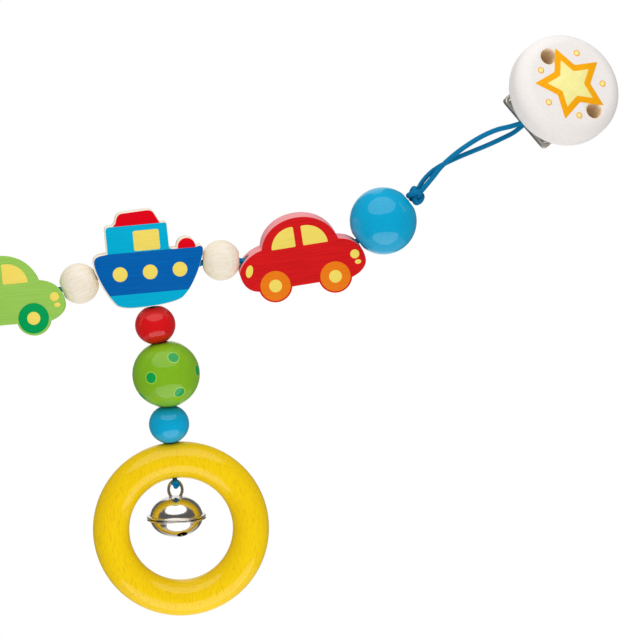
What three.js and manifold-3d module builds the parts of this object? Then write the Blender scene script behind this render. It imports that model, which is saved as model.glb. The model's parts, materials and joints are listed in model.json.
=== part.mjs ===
// Wooden pram chain: two clips, a doubled elastic cord between them with balls, beads,
// two cars and a boat, and a pendant of beads, a grasping ring and a bell under the boat.
// Millimetres, +Z up, front towards -Y. The origin is the middle of the line between the two clip bails.
import * as THREE from 'three';
import { mergeVertices } from 'three/addons/utils/BufferGeometryUtils.js';
import Module from 'manifold-3d';

const wasm = await Module();
wasm.setup();

// Turned wood
const BEAD_DIAMETER = 13.4;
const BEAD_LENGTH = 11.9;
const BEAD_END_FLAT = 5.4;
const BALL_DIAMETER = 22.4;
const BALL_LENGTH = 21.2;
const BALL_END_FLAT = 6.4;
const CHAIN_BORE = 4.5;
const PENDANT_BORE = 4;
const RING_DIAMETER = 58.6;
const RING_SECTION = 12.1;

// Cord
const CORD_DIAMETER = 1.7;
const CORD_GAP = 0.3;
const KNOT_DIAMETER = 6.2;
const KNOT_LENGTH = 5.2;

// Sawn figures, with the bore height measured from the figure's own datum
const FIGURE_THICKNESS = 11;
const FIGURE_EDGE = 0.5;
const CAR_WHEELBASE = 20;
const CAR_WHEEL_RADIUS = 5.6;
const CAR_SILL_DROP = 1.2;
const CAR_REAR_REACH = 21;
const CAR_FRONT_REACH = 20.8;
const CAR_TAIL_HEIGHT = 6;
const CAR_NOSE_HEIGHT = 4;
const CAR_NOSE_RISE = 3.8;
const CAR_BUMPER_ROUND = 0.8;
const CAR_BONNET_DROP = 0.8;
const CAR_BOOT_DROP = 3.4;
const CAR_BELT_HEIGHT = 12.4;
const CAR_ROOF_HEIGHT = 21.5;
const CAR_CABIN_REACH = 12.8;
const CAR_BORE_HEIGHT = 8.5;
const BOAT_STERN_REACH = 18.1;
const BOAT_BOW_REACH = 18.4;
const BOAT_KEEL_DEPTH = 12.2;
const BOAT_DECK_HEIGHT = 6.5;
const BOAT_CABIN_AFT = 13.4;
const BOAT_CABIN_FORE = 7.4;
const BOAT_CABIN_HEIGHT = 15.4;
const BOAT_ROOF_AFT = 10.8;
const BOAT_ROOF_FORE = 5;
const BOAT_ROOF_HEIGHT = 19.9;
const BOAT_STERN_ROUND = 3;
const BOAT_BOW_ROUND = 2.2;
const BOAT_SHEER = 0.2;
const BOAT_AFT_LEDGE = 1.6;
const BOAT_CABIN_FOOT = 0.9;
const BOAT_CABIN_RAKE = 0.1;
const BOAT_CABIN_ROUND = 1.2;
const BOAT_ROOF_SLOPE = 1.4;
const BOAT_ROOF_ROUND = 2;
const BOAT_WINCH_POSITION = 12.9;
const BOAT_WINCH_RADIUS = 3.2;
const BOAT_BORE_HEIGHT = -0.7;

// How the pieces lie on the cord: gaps, heights beside the boat, and angles in degrees
const RIGHT_GAP = 0.15;
const LEFT_GAP = 0.25;
const BALL_GAP = 0.45;
const KNOT_GAP = 0.3;
const MOUTH_INSET = 3.1;
const STACK_GAP = 0.15;
const PENDANT_GAP = 0.55;
const RIGHT_BEAD_HEIGHT = -0.2;
const LEFT_BEAD_HEIGHT = -1.9;
const RIGHT_BEAD_TILT = -6;
const LEFT_BEAD_TILT = 14;
const RED_CAR_HEIGHT = -9.7;
const GREEN_CAR_HEIGHT = -11.2;
const RED_CAR_TILT = 1.9;
const GREEN_CAR_TILT = -1.7;
const RED_CAR_LEAN = 4.5;
const GREEN_CAR_LEAN = -7;
const BOAT_TILT = -2;
const BOAT_LEAN = -2;
const BALL_TILT = 31.5;
const KNOT_TILT = 40;
const SPOTTED_BALL_OFFSET = 1.5;
const BLUE_BEAD_OFFSET = 0.4;
const LOOP_RUN = 38.8;
const LOOP_RISE = 19;

// Clip: a wooden disc on the lever of a stamped spring-steel clip
const DISC_DIAMETER = 37;
const DISC_THICKNESS = 13;
const DISC_EDGE = 5;
const DISC_POSITION = 13.9;
const DISC_HOLE = 5;
const DISC_HOLE_SPREAD = 11.6;
const BASE_THICKNESS = 1.2;
const BAIL_BAR = 1.2;
const BAIL_WIDTH = 21.4;
const BAIL_SIDE = 1.2;
const BAIL_SLOT = 2.4;
const BAIL_CORNER = 3;
const BAIL_RISE = 3.2;
const EAR_THICKNESS = 1.2;
const EAR_RADIUS = 2;
const LEVER_WIDTH = 15.2;
const LEVER_THICKNESS = 1.1;
const LEVER_START = 3.4;
const LEVER_BARREL = 1.6;
const CAM_REACH = 2.4;
const CAM_RADIUS = 1.1;
const PIN_POSITION = 22.4;
const PIN_DIAMETER = 1.6;
const PIN_CLEARANCE = 0.2;
const PIN_OVERHANG = 0.5;
const GRIP_THICKNESS = 0.7;
const GRIP_RIDGE = 0.3;
const JAW_GAP = 0.4;
const SEAT_GAP = 0.25;
const SIDE_GAP = 0.4;
const RIVET_SHANK = 2.2;
const RIVET_HEAD = 4.6;
const RIVET_HEAD_HEIGHT = 0.8;
const RIVET_DEPTH = 6;
const CLIP_TURN = 29.3;
const CLIP_RISE = 25.9;
const CLIP_TIP = 22.9;

// Bell
const BELL_DIAMETER = 17.6;
const BELL_CROWN_HEIGHT = 7.2;
const BELL_BOWL_DEPTH = 6.7;
const BELL_FLANGE = 19.8;
const BELL_SHEET = 0.6;
const BELL_SEAM_GAP = 0.25;
const BELL_SLOT = 1;
const BELL_SLOT_HOLE = 3.6;
const BELL_SLOT_REACH = 5.6;
const BELL_SLOT_HOLE_ANGLE = 47;
const BELL_SLOT_TURN = 17;
const BELL_LEAN = 5;
const BELL_WIRE = 1;
const BELL_LOOP_WIDTH = 5.5;
const BELL_LOOP_HEIGHT = 5.5;
const BELL_LOOP_ROOT = 1.4;
const BELL_PELLET = 4.5;
const PELLET_GAP = 0.5;
const BELL_KNOT_DIAMETER = 2.9;
const BELL_GAP = 0.4;

const radians = THREE.MathUtils.degToRad;
const vector = (x, y, z) => new THREE.Vector3(x, y, z);

// One closed skin: shared vertices merged, empty triangles dropped, faces turned outwards
function closed(geometry) {
  const source = geometry.clone();
  source.deleteAttribute('normal');
  source.deleteAttribute('uv');
  const merged = mergeVertices(source);
  const place = merged.attributes.position;
  const corners = [...merged.index.array];
  const kept = [];
  let volume = 0;
  for (let i = 0; i < corners.length; i += 3) {
    const [a, b, c] = corners.slice(i, i + 3);
    if (a === b || b === c || c === a) continue;
    kept.push([a, b, c]);
    const p = vector().fromBufferAttribute(place, a);
    const q = vector().fromBufferAttribute(place, b);
    const r = vector().fromBufferAttribute(place, c);
    volume += p.dot(q.cross(r));
  }
  merged.setIndex(kept.flatMap(([a, b, c]) => (volume < 0 ? [a, c, b] : [a, b, c])));
  return merged;
}

function toSolid(geometry) {
  const skin = closed(geometry);
  return new wasm.Manifold(new wasm.Mesh({
    numProp: 3,
    vertProperties: new Float32Array(skin.attributes.position.array),
    triVerts: new Uint32Array(skin.index.array),
  }));
}

function toGeometry(solid) {
  const mesh = solid.getMesh();
  const geometry = new THREE.BufferGeometry();
  geometry.setAttribute('position', new THREE.BufferAttribute(new Float32Array(mesh.vertProperties), 3));
  geometry.setIndex([...mesh.triVerts]);
  return geometry;
}

function shaped(start, { add = [], cut = [] }) {
  let solid = toSolid(start);
  for (const geometry of add) solid = solid.add(toSolid(geometry));
  for (const geometry of cut) solid = solid.subtract(toSolid(geometry));
  return toGeometry(solid);
}

// A piece turned on a lathe about its own X axis, from a closed profile of [along, radius] points
function turned(profile, segments) {
  const points = [...profile, profile[0]].map(([along, radius]) => new THREE.Vector2(radius, along));
  return closed(new THREE.LatheGeometry(points, segments).rotateZ(-Math.PI / 2));
}

function rod(diameter, length, segments = 12) {
  return new THREE.CylinderGeometry(diameter / 2, diameter / 2, length, segments);
}

// A flat shape drawn in X and Z and given its thickness along Y
function plate(shape, thickness, edge = 0) {
  const geometry = new THREE.ExtrudeGeometry(shape, {
    depth: thickness - 2 * edge,
    bevelEnabled: edge > 0,
    bevelThickness: edge,
    bevelSize: edge,
    bevelOffset: -edge,
    bevelSegments: 1,
    curveSegments: 6,
  });
  return geometry.translate(0, 0, edge - thickness / 2).rotateX(Math.PI / 2);
}

function cordTube(points, diameter, steps) {
  const section = new THREE.Shape().absarc(0, 0, diameter / 2, 0, 2 * Math.PI);
  const route = new THREE.CatmullRomCurve3(points, false, 'centripetal');
  return closed(new THREE.ExtrudeGeometry(section, {
    steps,
    curveSegments: 4,
    bevelEnabled: false,
    extrudePath: route,
  }));
}

function finish(color, roughness, metalness = 0) {
  return new THREE.MeshStandardMaterial({ color, roughness, metalness });
}

const naturalWood = finish(0xf0e3cc, 0.5);
const blueLacquer = finish(0x00a3d9, 0.2);
const redLacquer = finish(0xe00f14, 0.2);
const greenLacquer = finish(0x85be1e, 0.2);
const yellowStain = finish(0xfad60a, 0.35);
const redPaint = finish(0xd51a1a, 0.45);
const greenPaint = finish(0x94c356, 0.45);
const bluePaint = finish(0x0060ae, 0.45);
const whiteLacquer = finish(0xf3efec, 0.3);
const blueCord = finish(0x0a7db8, 0.8);
const nickel = finish(0xc8c8c6, 0.2, 1);
const clearGrip = finish(0xe8e8e4, 0.4);

const chain = new THREE.Group();

function piece(name, geometry, material, parent = chain) {
  const mesh = new THREE.Mesh(geometry, material);
  mesh.name = name;
  parent.add(mesh);
  return mesh;
}

function placed(parent, position, rotation = [0, 0, 0]) {
  const group = new THREE.Group();
  group.position.copy(position);
  group.rotation.set(...rotation, 'YXZ');
  parent.add(group);
  return group;
}

// Balls and beads: a round body whose two bore ends are turned flat
function beadProfile(diameter, length, endFlat, bore, steps) {
  const radius = diameter / 2;
  const flat = Math.asin(endFlat / diameter);
  const reach = length / 2 / Math.cos(flat);
  const profile = [[-length / 2, bore / 2]];
  for (let i = 0; i <= steps; i += 1) {
    const angle = Math.PI - flat - (i / steps) * (Math.PI - 2 * flat);
    profile.push([reach * Math.cos(angle), radius * Math.sin(angle)]);
  }
  profile.push([length / 2, bore / 2]);
  return profile;
}

const bead = turned(beadProfile(BEAD_DIAMETER, BEAD_LENGTH, BEAD_END_FLAT, CHAIN_BORE, 8), 16);
const ball = turned(beadProfile(BALL_DIAMETER, BALL_LENGTH, BALL_END_FLAT, CHAIN_BORE, 10), 20);
const pendantBead = turned(beadProfile(BEAD_DIAMETER, BEAD_LENGTH, BEAD_END_FLAT, PENDANT_BORE, 8), 16);
const pendantBall = turned(beadProfile(BALL_DIAMETER, BALL_LENGTH, BALL_END_FLAT, PENDANT_BORE, 10), 20);

// The car's side view, with the datum midway between the wheel centres
function carShape() {
  const axle = CAR_WHEELBASE / 2;
  const dip = Math.asin(CAR_SILL_DROP / CAR_WHEEL_RADIUS);
  const arch = CAR_WHEEL_RADIUS * Math.cos(dip);
  const sill = -CAR_SILL_DROP;
  const belt = CAR_BELT_HEIGHT;
  const roof = CAR_ROOF_HEIGHT;
  const cabin = CAR_CABIN_REACH;
  const front = CAR_FRONT_REACH;
  const rear = CAR_REAR_REACH;
  const shape = new THREE.Shape();
  shape.moveTo(-axle + arch, sill);
  shape.lineTo(axle - arch, sill);
  shape.absarc(axle, 0, CAR_WHEEL_RADIUS, Math.PI + dip, -dip, false);
  shape.bezierCurveTo(0.88 * front, sill + CAR_BUMPER_ROUND, front, 0.4 * CAR_NOSE_HEIGHT,
    front, CAR_NOSE_HEIGHT);
  shape.bezierCurveTo(front, CAR_NOSE_HEIGHT + CAR_NOSE_RISE, 0.89 * front, belt - CAR_BONNET_DROP,
    cabin, belt);
  shape.bezierCurveTo(0.88 * cabin, 0.83 * roof, cabin / 2, roof, 0, roof);
  shape.bezierCurveTo(-cabin / 2, roof, -0.91 * cabin, 0.83 * roof, -cabin, belt);
  shape.bezierCurveTo(-0.78 * rear, belt - 0.75 * CAR_BONNET_DROP, -0.96 * rear, belt - CAR_BOOT_DROP,
    -rear, CAR_TAIL_HEIGHT);
  shape.bezierCurveTo(-rear, 0.33 * CAR_TAIL_HEIGHT, -0.9 * rear, sill + CAR_BUMPER_ROUND / 2,
    -axle - arch, sill);
  shape.absarc(-axle, 0, CAR_WHEEL_RADIUS, Math.PI + dip, -dip, false);
  return shape;
}

// The boat's side view, with the datum near the middle of the hull and the bow to the right
function boatShape() {
  const stern = -BOAT_STERN_REACH;
  const bow = BOAT_BOW_REACH;
  const keel = -BOAT_KEEL_DEPTH;
  const deck = BOAT_DECK_HEIGHT;
  const aft = -BOAT_CABIN_AFT;
  const fore = BOAT_CABIN_FORE;
  const top = BOAT_CABIN_HEIGHT;
  const roof = BOAT_ROOF_HEIGHT;
  const roofAft = -BOAT_ROOF_AFT;
  const roofFore = BOAT_ROOF_FORE - BOAT_ROOF_SLOPE;
  const front = fore - BOAT_CABIN_RAKE;
  const sheer = BOAT_SHEER;
  const foot = BOAT_CABIN_FOOT;
  const corner = BOAT_CABIN_ROUND;
  const round = BOAT_ROOF_ROUND;
  const shape = new THREE.Shape();
  shape.moveTo(aft, deck);
  shape.lineTo(aft - BOAT_AFT_LEDGE, deck - sheer);
  shape.quadraticCurveTo(stern, deck - 2 * sheer, stern, deck - BOAT_STERN_ROUND);
  shape.bezierCurveTo(0.98 * stern, 0.05 * keel, 0.8 * stern, 0.63 * keel, 0.64 * stern, 0.89 * keel);
  shape.quadraticCurveTo(0.54 * stern, keel, 0.28 * stern, keel);
  shape.bezierCurveTo(0.05 * bow, keel, 0.43 * bow, 0.95 * keel, 0.56 * bow, 0.82 * keel);
  shape.bezierCurveTo(0.74 * bow, 0.62 * keel, 0.92 * bow, 0.07 * keel, bow, deck - BOAT_BOW_ROUND);
  shape.quadraticCurveTo(bow + 2 * sheer, deck + 1.5 * sheer, bow - 0.68 * BOAT_BOW_ROUND, deck + sheer);
  shape.lineTo(BOAT_WINCH_POSITION + BOAT_WINCH_RADIUS, deck);
  shape.absarc(BOAT_WINCH_POSITION, deck, BOAT_WINCH_RADIUS, 0, Math.PI, false);
  shape.lineTo(fore + foot, deck);
  shape.quadraticCurveTo(fore, deck, fore, deck + foot);
  shape.lineTo(front, top - corner);
  shape.quadraticCurveTo(front, top, front - corner, top);
  shape.lineTo(BOAT_ROOF_FORE, top);
  shape.lineTo(roofFore, roof - 0.9 * round);
  shape.quadraticCurveTo(roofFore - 0.36 * round, roof, roofFore - 1.36 * round, roof);
  shape.lineTo(roofAft + 1.8 * round, roof - 2 * sheer);
  shape.quadraticCurveTo(roofAft + 0.73 * round, roof - 2.5 * sheer,
    roofAft + 0.45 * round, roof - 1.8 * round);
  shape.lineTo(roofAft, top);
  shape.lineTo(aft + 1.5 * corner, top);
  shape.quadraticCurveTo(aft, top, aft, top - 1.5 * corner);
  shape.lineTo(aft, deck);
  return shape;
}

// Outlines in the front view, used to set each piece against its neighbour with an even gap
function carOutline() {
  return carShape().getPoints(8).map((p) => [p.x, p.y - CAR_BORE_HEIGHT]);
}

function boatOutline() {
  return boatShape().getPoints(8).map((p) => [p.x, p.y - BOAT_BORE_HEIGHT]);
}

function beadOutline(diameter, length, endFlat) {
  const half = beadProfile(diameter, length, endFlat, 0, 24);
  return [...half, ...half.slice(1, -1).reverse().map(([along, radius]) => [along, -radius])];
}

function moved(outline, place, tilt) {
  const cos = Math.cos(radians(tilt));
  const sin = Math.sin(radians(tilt));
  return outline.map(([x, z]) => [place.x + x * cos - z * sin, place.z + x * sin + z * cos]);
}

function pointToEdge([x, z], [ax, az], [bx, bz]) {
  const length = (bx - ax) ** 2 + (bz - az) ** 2;
  const share = length ? Math.min(1, Math.max(0, ((x - ax) * (bx - ax) + (z - az) * (bz - az)) / length)) : 0;
  return Math.hypot(x - ax - share * (bx - ax), z - az - share * (bz - az));
}

function outlineGap(first, second) {
  let gap = Infinity;
  for (const [points, edges] of [[first, second], [second, first]]) {
    for (const point of points) {
      edges.forEach((corner, i) => {
        gap = Math.min(gap, pointToEdge(point, corner, edges[(i + 1) % edges.length]));
      });
    }
  }
  return gap;
}

// Brings a piece in along a direction from outside until it lies one gap from its neighbour
function seatBeside(neighbour, outline, start, direction, tilt, gap) {
  const placeAt = (distance) => start.clone().addScaledVector(direction, distance);
  const gapAt = (distance) => outlineGap(neighbour, moved(outline, placeAt(distance), tilt));
  let clear = BALL_DIAMETER + BEAD_DIAMETER + CAR_REAR_REACH + CAR_FRONT_REACH;
  let step = 2;
  while (step > 0.005) {
    if (gapAt(clear - step) > gap) clear -= step;
    else step /= 2;
  }
  return placeAt(clear);
}

// Layout of the chain, first beside the boat's bore and then moved so that the bails lie on the origin's line
const RIGHT = 1;
const LEFT = -1;
const boatPlace = vector(0, 0, BOAT_BORE_HEIGHT);
const boatEdge = moved(boatOutline(), boatPlace, BOAT_TILT);
const beadEdge = beadOutline(BEAD_DIAMETER, BEAD_LENGTH, BEAD_END_FLAT);
const ballEdge = beadOutline(BALL_DIAMETER, BALL_LENGTH, BALL_END_FLAT);
const sides = {};
for (const { name, side, gap, beadHeight, beadTilt, carHeight, carTilt, carLean, carReach, carPaint } of [
  {
    name: 'right', side: RIGHT, gap: RIGHT_GAP, beadHeight: RIGHT_BEAD_HEIGHT, beadTilt: RIGHT_BEAD_TILT,
    carHeight: RED_CAR_HEIGHT, carTilt: RED_CAR_TILT, carLean: RED_CAR_LEAN, carReach: CAR_FRONT_REACH,
    carPaint: redPaint,
  },
  {
    name: 'left', side: LEFT, gap: LEFT_GAP, beadHeight: LEFT_BEAD_HEIGHT, beadTilt: LEFT_BEAD_TILT,
    carHeight: GREEN_CAR_HEIGHT, carTilt: GREEN_CAR_TILT, carLean: GREEN_CAR_LEAN, carReach: CAR_REAR_REACH,
    carPaint: greenPaint,
  },
]) {
  const outwards = vector(side, 0, 0);
  const beadPlace = seatBeside(boatEdge, beadEdge, vector(0, 0, beadHeight), outwards, beadTilt, gap);
  const carStart = beadPlace.clone().setZ(carHeight + CAR_BORE_HEIGHT);
  const beadSide = moved(beadEdge, beadPlace, beadTilt);
  const carPlace = seatBeside(beadSide, carOutline(), carStart, outwards, carTilt, gap);
  const carEdge = moved(carOutline(), carPlace, carTilt);
  const along = vector(Math.cos(radians(carTilt)), 0, Math.sin(radians(carTilt)));
  const mouth = carPlace.clone().addScaledVector(along, side * (carReach - MOUTH_INSET));
  const ballTilt = side * BALL_TILT;
  const ballAxis = vector(side * Math.cos(radians(BALL_TILT)), 0, Math.sin(radians(BALL_TILT)));
  const ballPlace = seatBeside(carEdge, ballEdge, mouth, ballAxis, ballTilt, BALL_GAP);
  const knotReach = BALL_LENGTH / 2 + KNOT_GAP + KNOT_LENGTH / 2;
  const knotPlace = ballPlace.clone().addScaledVector(ballAxis, knotReach);
  const knotAxis = vector(side * Math.cos(radians(KNOT_TILT)), 0, Math.sin(radians(KNOT_TILT)));
  sides[name] = {
    name, side, beadPlace, beadTilt, carPlace, carTilt, carLean, carPaint, ballPlace, ballTilt, knotPlace,
    ballAxis, knotAxis, along,
  };
}
const bailHeight = sides.right.knotPlace.z + LOOP_RISE;
const bailReach = sides.right.knotPlace.x + LOOP_RUN;
const drop = vector(0, 0, -bailHeight);
boatPlace.add(drop);
for (const side of Object.values(sides)) {
  for (const place of [side.beadPlace, side.carPlace, side.ballPlace, side.knotPlace]) place.add(drop);
  side.bail = vector(side.side * bailReach, 0, 0);
}

// Boat: one sawn board with the chain's bore along it and the pendant's bore up from the keel
const boatGroup = placed(chain, boatPlace, [radians(BOAT_LEAN), -radians(BOAT_TILT), 0]);
const figureBore = () => rod(CHAIN_BORE, 3 * CAR_REAR_REACH).rotateZ(Math.PI / 2);
const keelDepth = BOAT_KEEL_DEPTH + BOAT_BORE_HEIGHT;
const boatBoard = plate(boatShape(), FIGURE_THICKNESS, FIGURE_EDGE).translate(0, 0, -BOAT_BORE_HEIGHT);
const keelBore = rod(CHAIN_BORE, keelDepth + 2).rotateX(Math.PI / 2).translate(0, 0, -keelDepth / 2 - 1);
piece('boat', shaped(boatBoard, { cut: [figureBore(), keelBore] }), bluePaint, boatGroup);

// Cars: the same sawn shape twice, both nosing to the right
function addCar(name, { carPlace, carTilt, carLean, carPaint }) {
  const group = placed(chain, carPlace, [radians(carLean), -radians(carTilt), 0]);
  const board = plate(carShape(), FIGURE_THICKNESS, FIGURE_EDGE).translate(0, 0, -CAR_BORE_HEIGHT);
  piece(name, shaped(board, { cut: [figureBore()] }), carPaint, group);
}
addCar('red_car', sides.right);
addCar('green_car', sides.left);

// Balls, beads and end knots on the chain
function knotProfile() {
  const turns = 3;
  const steps = 4;
  const profile = [[-KNOT_LENGTH / 2, 0]];
  for (let turn = 0; turn < turns; turn += 1) {
    for (let step = 0; step <= steps; step += 1) {
      const along = ((turn + step / steps) / turns - 0.5) * KNOT_LENGTH;
      const swell = Math.sin((step / steps) * Math.PI);
      const waist = turn === 1 ? 1 : 0.86;
      if (turn === 0 || step > 0) profile.push([along, (KNOT_DIAMETER / 2) * waist * (0.68 + 0.32 * swell)]);
    }
  }
  profile.push([KNOT_LENGTH / 2, 0]);
  return profile;
}
const endKnot = turned(knotProfile(), 10);
for (const { name, side, beadPlace, beadTilt, ballPlace, ballTilt, knotPlace } of Object.values(sides)) {
  piece(`${name}_natural_bead`, bead, naturalWood, placed(chain, beadPlace, [0, -radians(beadTilt), 0]));
  piece(`${name}_blue_ball`, ball, blueLacquer, placed(chain, ballPlace, [0, -radians(ballTilt), 0]));
  piece(`${name}_knot`, endKnot, blueCord, placed(chain, knotPlace, [0, -radians(side * KNOT_TILT), 0]));
}

// Chain cord: two strands side by side through every bore, from one end knot to the other
const cordSpread = (CORD_DIAMETER + CORD_GAP) / 2;
const knotEnd = KNOT_LENGTH / 2 + CORD_GAP;
function chainRoute({
  side, knotPlace, knotAxis, ballPlace, ballAxis, carPlace, along, beadPlace, beadTilt,
}) {
  const beadAxis = vector(Math.cos(radians(beadTilt)), 0, Math.sin(radians(beadTilt)));
  return [
    knotPlace.clone().addScaledVector(knotAxis, -knotEnd),
    ballPlace.clone().addScaledVector(ballAxis, 0.4 * BALL_LENGTH),
    ballPlace.clone().addScaledVector(ballAxis, -0.42 * BALL_LENGTH),
    carPlace.clone().addScaledVector(along, side * 0.78 * CAR_FRONT_REACH),
    carPlace.clone(),
    carPlace.clone().addScaledVector(along, side * -0.8 * CAR_FRONT_REACH),
    beadPlace.clone().addScaledVector(beadAxis, side * 0.3 * BEAD_LENGTH),
    beadPlace.clone().addScaledVector(beadAxis, side * -0.3 * BEAD_LENGTH),
  ];
}
const boatAxis = vector(Math.cos(radians(BOAT_TILT)), 0, Math.sin(radians(BOAT_TILT)));
const chainPoints = [
  ...chainRoute(sides.right),
  boatPlace.clone().addScaledVector(boatAxis, 0.7 * BOAT_BOW_REACH),
  boatPlace.clone().addScaledVector(boatAxis, -0.7 * BOAT_STERN_REACH),
  ...chainRoute(sides.left).reverse(),
];
for (const [name, depth] of [['chain_cord_front', -cordSpread], ['chain_cord_back', cordSpread]]) {
  const points = chainPoints.map((point) => point.clone().setY(depth));
  piece(name, cordTube(points, CORD_DIAMETER, 44), blueCord);
}

// Cord loops, out along one strand and back along the other, in steps of
// [share of the way from knot to bail, sideways, depth]
const LOOP_OUT = [
  [0.2, 2.1, -0.9], [0.28, 3.3, -1.1], [0.42, 4.3, -1.2], [0.55, 4.6, -1.3], [0.68, 4.4, -1.5],
  [0.8, 3.5, -1.8], [0.9, 2, -2.1],
];
const LOOP_BACK = [
  [0.9, -0.7, 2.1], [0.8, -0.2, 1.8], [0.68, 0.6, 1.5], [0.55, 1.7, 1.3], [0.42, 2.75, 1.2],
  [0.28, 3.6, 1.1], [0.2, 3.7, 0.9],
];
const LOOP_BEND = 1.95;
const LOOP_BEND_ANGLES = [15, 53, 90, 127, 165];

// The clip's own axes: X outwards from the bail, Y along the bail bar, Z out of the disc's face
function clipAxes(side) {
  const turn = radians(CLIP_TURN);
  const rise = radians(CLIP_RISE);
  const tip = radians(CLIP_TIP);
  const level = vector(side * Math.sin(turn), -Math.cos(turn), 0);
  const out = vector(side * Math.cos(turn) * Math.cos(rise), Math.sin(turn) * Math.cos(rise), Math.sin(rise));
  const up = vector(0, 0, 1).addScaledVector(out, -out.z).normalize();
  const face = level.multiplyScalar(Math.cos(tip)).addScaledVector(up, Math.sin(tip));
  return { out, bar: face.clone().cross(out), face };
}

function loopRoute({ side, knotPlace, knotAxis, bail }) {
  const run = bail.clone().sub(knotPlace);
  const sideways = vector(-run.z, 0, run.x).normalize().multiplyScalar(side);
  const { out, face } = clipAxes(side);
  const strand = (points) => points.map(([share, off, depth]) => {
    const point = knotPlace.clone().addScaledVector(run, share).addScaledVector(sideways, off);
    return point.setY(depth);
  });
  const knotTop = (depth) => {
    const point = knotPlace.clone().addScaledVector(knotAxis, knotEnd);
    return point.addScaledVector(sideways, depth / 2).setY(depth);
  };
  const bend = LOOP_BEND_ANGLES.map((angle) => bail.clone()
    .addScaledVector(face, LOOP_BEND * Math.cos(radians(angle)))
    .addScaledVector(out, LOOP_BEND * Math.sin(radians(angle))));
  return [knotTop(-cordSpread), ...strand(LOOP_OUT), ...bend, ...strand(LOOP_BACK), knotTop(cordSpread)];
}
for (const side of Object.values(sides)) {
  piece(`${side.name}_cord_loop`, cordTube(loopRoute(side), CORD_DIAMETER, 38), blueCord);
}

// Clips, each built in its own axes with the bail bar's middle at its origin
const baseTop = BASE_THICKNESS / 2 - BAIL_RISE;
const gripTop = baseTop + SEAT_GAP + GRIP_THICKNESS;
const pinHeight = gripTop + JAW_GAP + CAM_REACH;
const leverTop = pinHeight + EAR_RADIUS;
const discBack = leverTop + SEAT_GAP;
const earInside = LEVER_WIDTH / 2 + SIDE_GAP;
const baseWidth = 2 * (earInside + EAR_THICKNESS);
const slotEnd = BAIL_BAR / 2 + BAIL_SLOT;
const baseEnd = PIN_POSITION + EAR_RADIUS;

function roundedRectangle(path, x0, y0, x1, y1, r) {
  path.moveTo(x0 + r, y0);
  path.lineTo(x1 - r, y0);
  path.quadraticCurveTo(x1, y0, x1, y0 + r);
  path.lineTo(x1, y1 - r);
  path.quadraticCurveTo(x1, y1, x1 - r, y1);
  path.lineTo(x0 + r, y1);
  path.quadraticCurveTo(x0, y1, x0, y1 - r);
  path.lineTo(x0, y0 + r);
  path.quadraticCurveTo(x0, y0, x0 + r, y0);
  return path;
}

function baseGeometry() {
  const bailHalf = BAIL_WIDTH / 2;
  const sheet = { depth: BASE_THICKNESS, bevelEnabled: false, curveSegments: 3 };
  const bail = roundedRectangle(
    new THREE.Shape(), -BAIL_BAR / 2, -bailHalf, slotEnd + BASE_THICKNESS, bailHalf, BAIL_CORNER / 2,
  );
  const slotHalf = bailHalf - BAIL_SIDE;
  const slot = new THREE.Path();
  roundedRectangle(slot, BAIL_BAR / 2, -slotHalf, slotEnd, slotHalf, BAIL_CORNER / 2);
  bail.holes.push(slot);
  const body = roundedRectangle(
    new THREE.Shape(), slotEnd, -baseWidth / 2, baseEnd, baseWidth / 2, BAIL_CORNER / 4,
  );
  const lay = (shape, level) => new THREE.ExtrudeGeometry(shape, sheet)
    .translate(0, 0, level - BASE_THICKNESS / 2);
  const riser = new THREE.BoxGeometry(BASE_THICKNESS, baseWidth - BAIL_CORNER, BAIL_RISE)
    .translate(slotEnd + BASE_THICKNESS / 2, 0, -BAIL_RISE / 2);
  const ear = new THREE.Shape();
  ear.moveTo(PIN_POSITION - EAR_RADIUS, -BAIL_RISE);
  ear.lineTo(PIN_POSITION + EAR_RADIUS, -BAIL_RISE);
  ear.lineTo(PIN_POSITION + EAR_RADIUS, pinHeight);
  ear.absarc(PIN_POSITION, pinHeight, EAR_RADIUS, 0, Math.PI, false);
  const ears = [1, -1].map((hand) => plate(ear, EAR_THICKNESS)
    .translate(0, hand * (earInside + EAR_THICKNESS / 2), 0));
  const hole = rod(PIN_DIAMETER + 2 * PIN_CLEARANCE, 2 * baseWidth, 14).translate(PIN_POSITION, 0, pinHeight);
  return shaped(lay(bail, 0), { add: [lay(body, -BAIL_RISE), riser, ...ears], cut: [hole] });
}

function leverGeometry() {
  const flatMiddle = (LEVER_START + PIN_POSITION) / 2;
  const flat = new THREE.BoxGeometry(PIN_POSITION - LEVER_START, LEVER_WIDTH, LEVER_THICKNESS)
    .translate(flatMiddle, 0, leverTop - LEVER_THICKNESS / 2);
  const barrel = rod(2 * LEVER_BARREL, LEVER_WIDTH, 18).translate(PIN_POSITION, 0, pinHeight);
  const cam = rod(2 * CAM_RADIUS, LEVER_WIDTH, 14)
    .translate(PIN_POSITION, 0, pinHeight - CAM_REACH + CAM_RADIUS);
  const web = new THREE.BoxGeometry(1.6 * LEVER_BARREL, LEVER_WIDTH, leverTop - pinHeight)
    .translate(PIN_POSITION - 0.8 * LEVER_BARREL, 0, (leverTop + pinHeight) / 2);
  const pinHole = rod(PIN_DIAMETER + 2 * PIN_CLEARANCE, 2 * LEVER_WIDTH, 14)
    .translate(PIN_POSITION, 0, pinHeight);
  const rivetHole = rod(RIVET_SHANK + 2 * SEAT_GAP, 4 * LEVER_THICKNESS, 14).rotateX(Math.PI / 2)
    .translate(DISC_POSITION, 0, leverTop - LEVER_THICKNESS / 2);
  return shaped(flat, { add: [web, barrel, cam], cut: [pinHole, rivetHole] });
}

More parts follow.
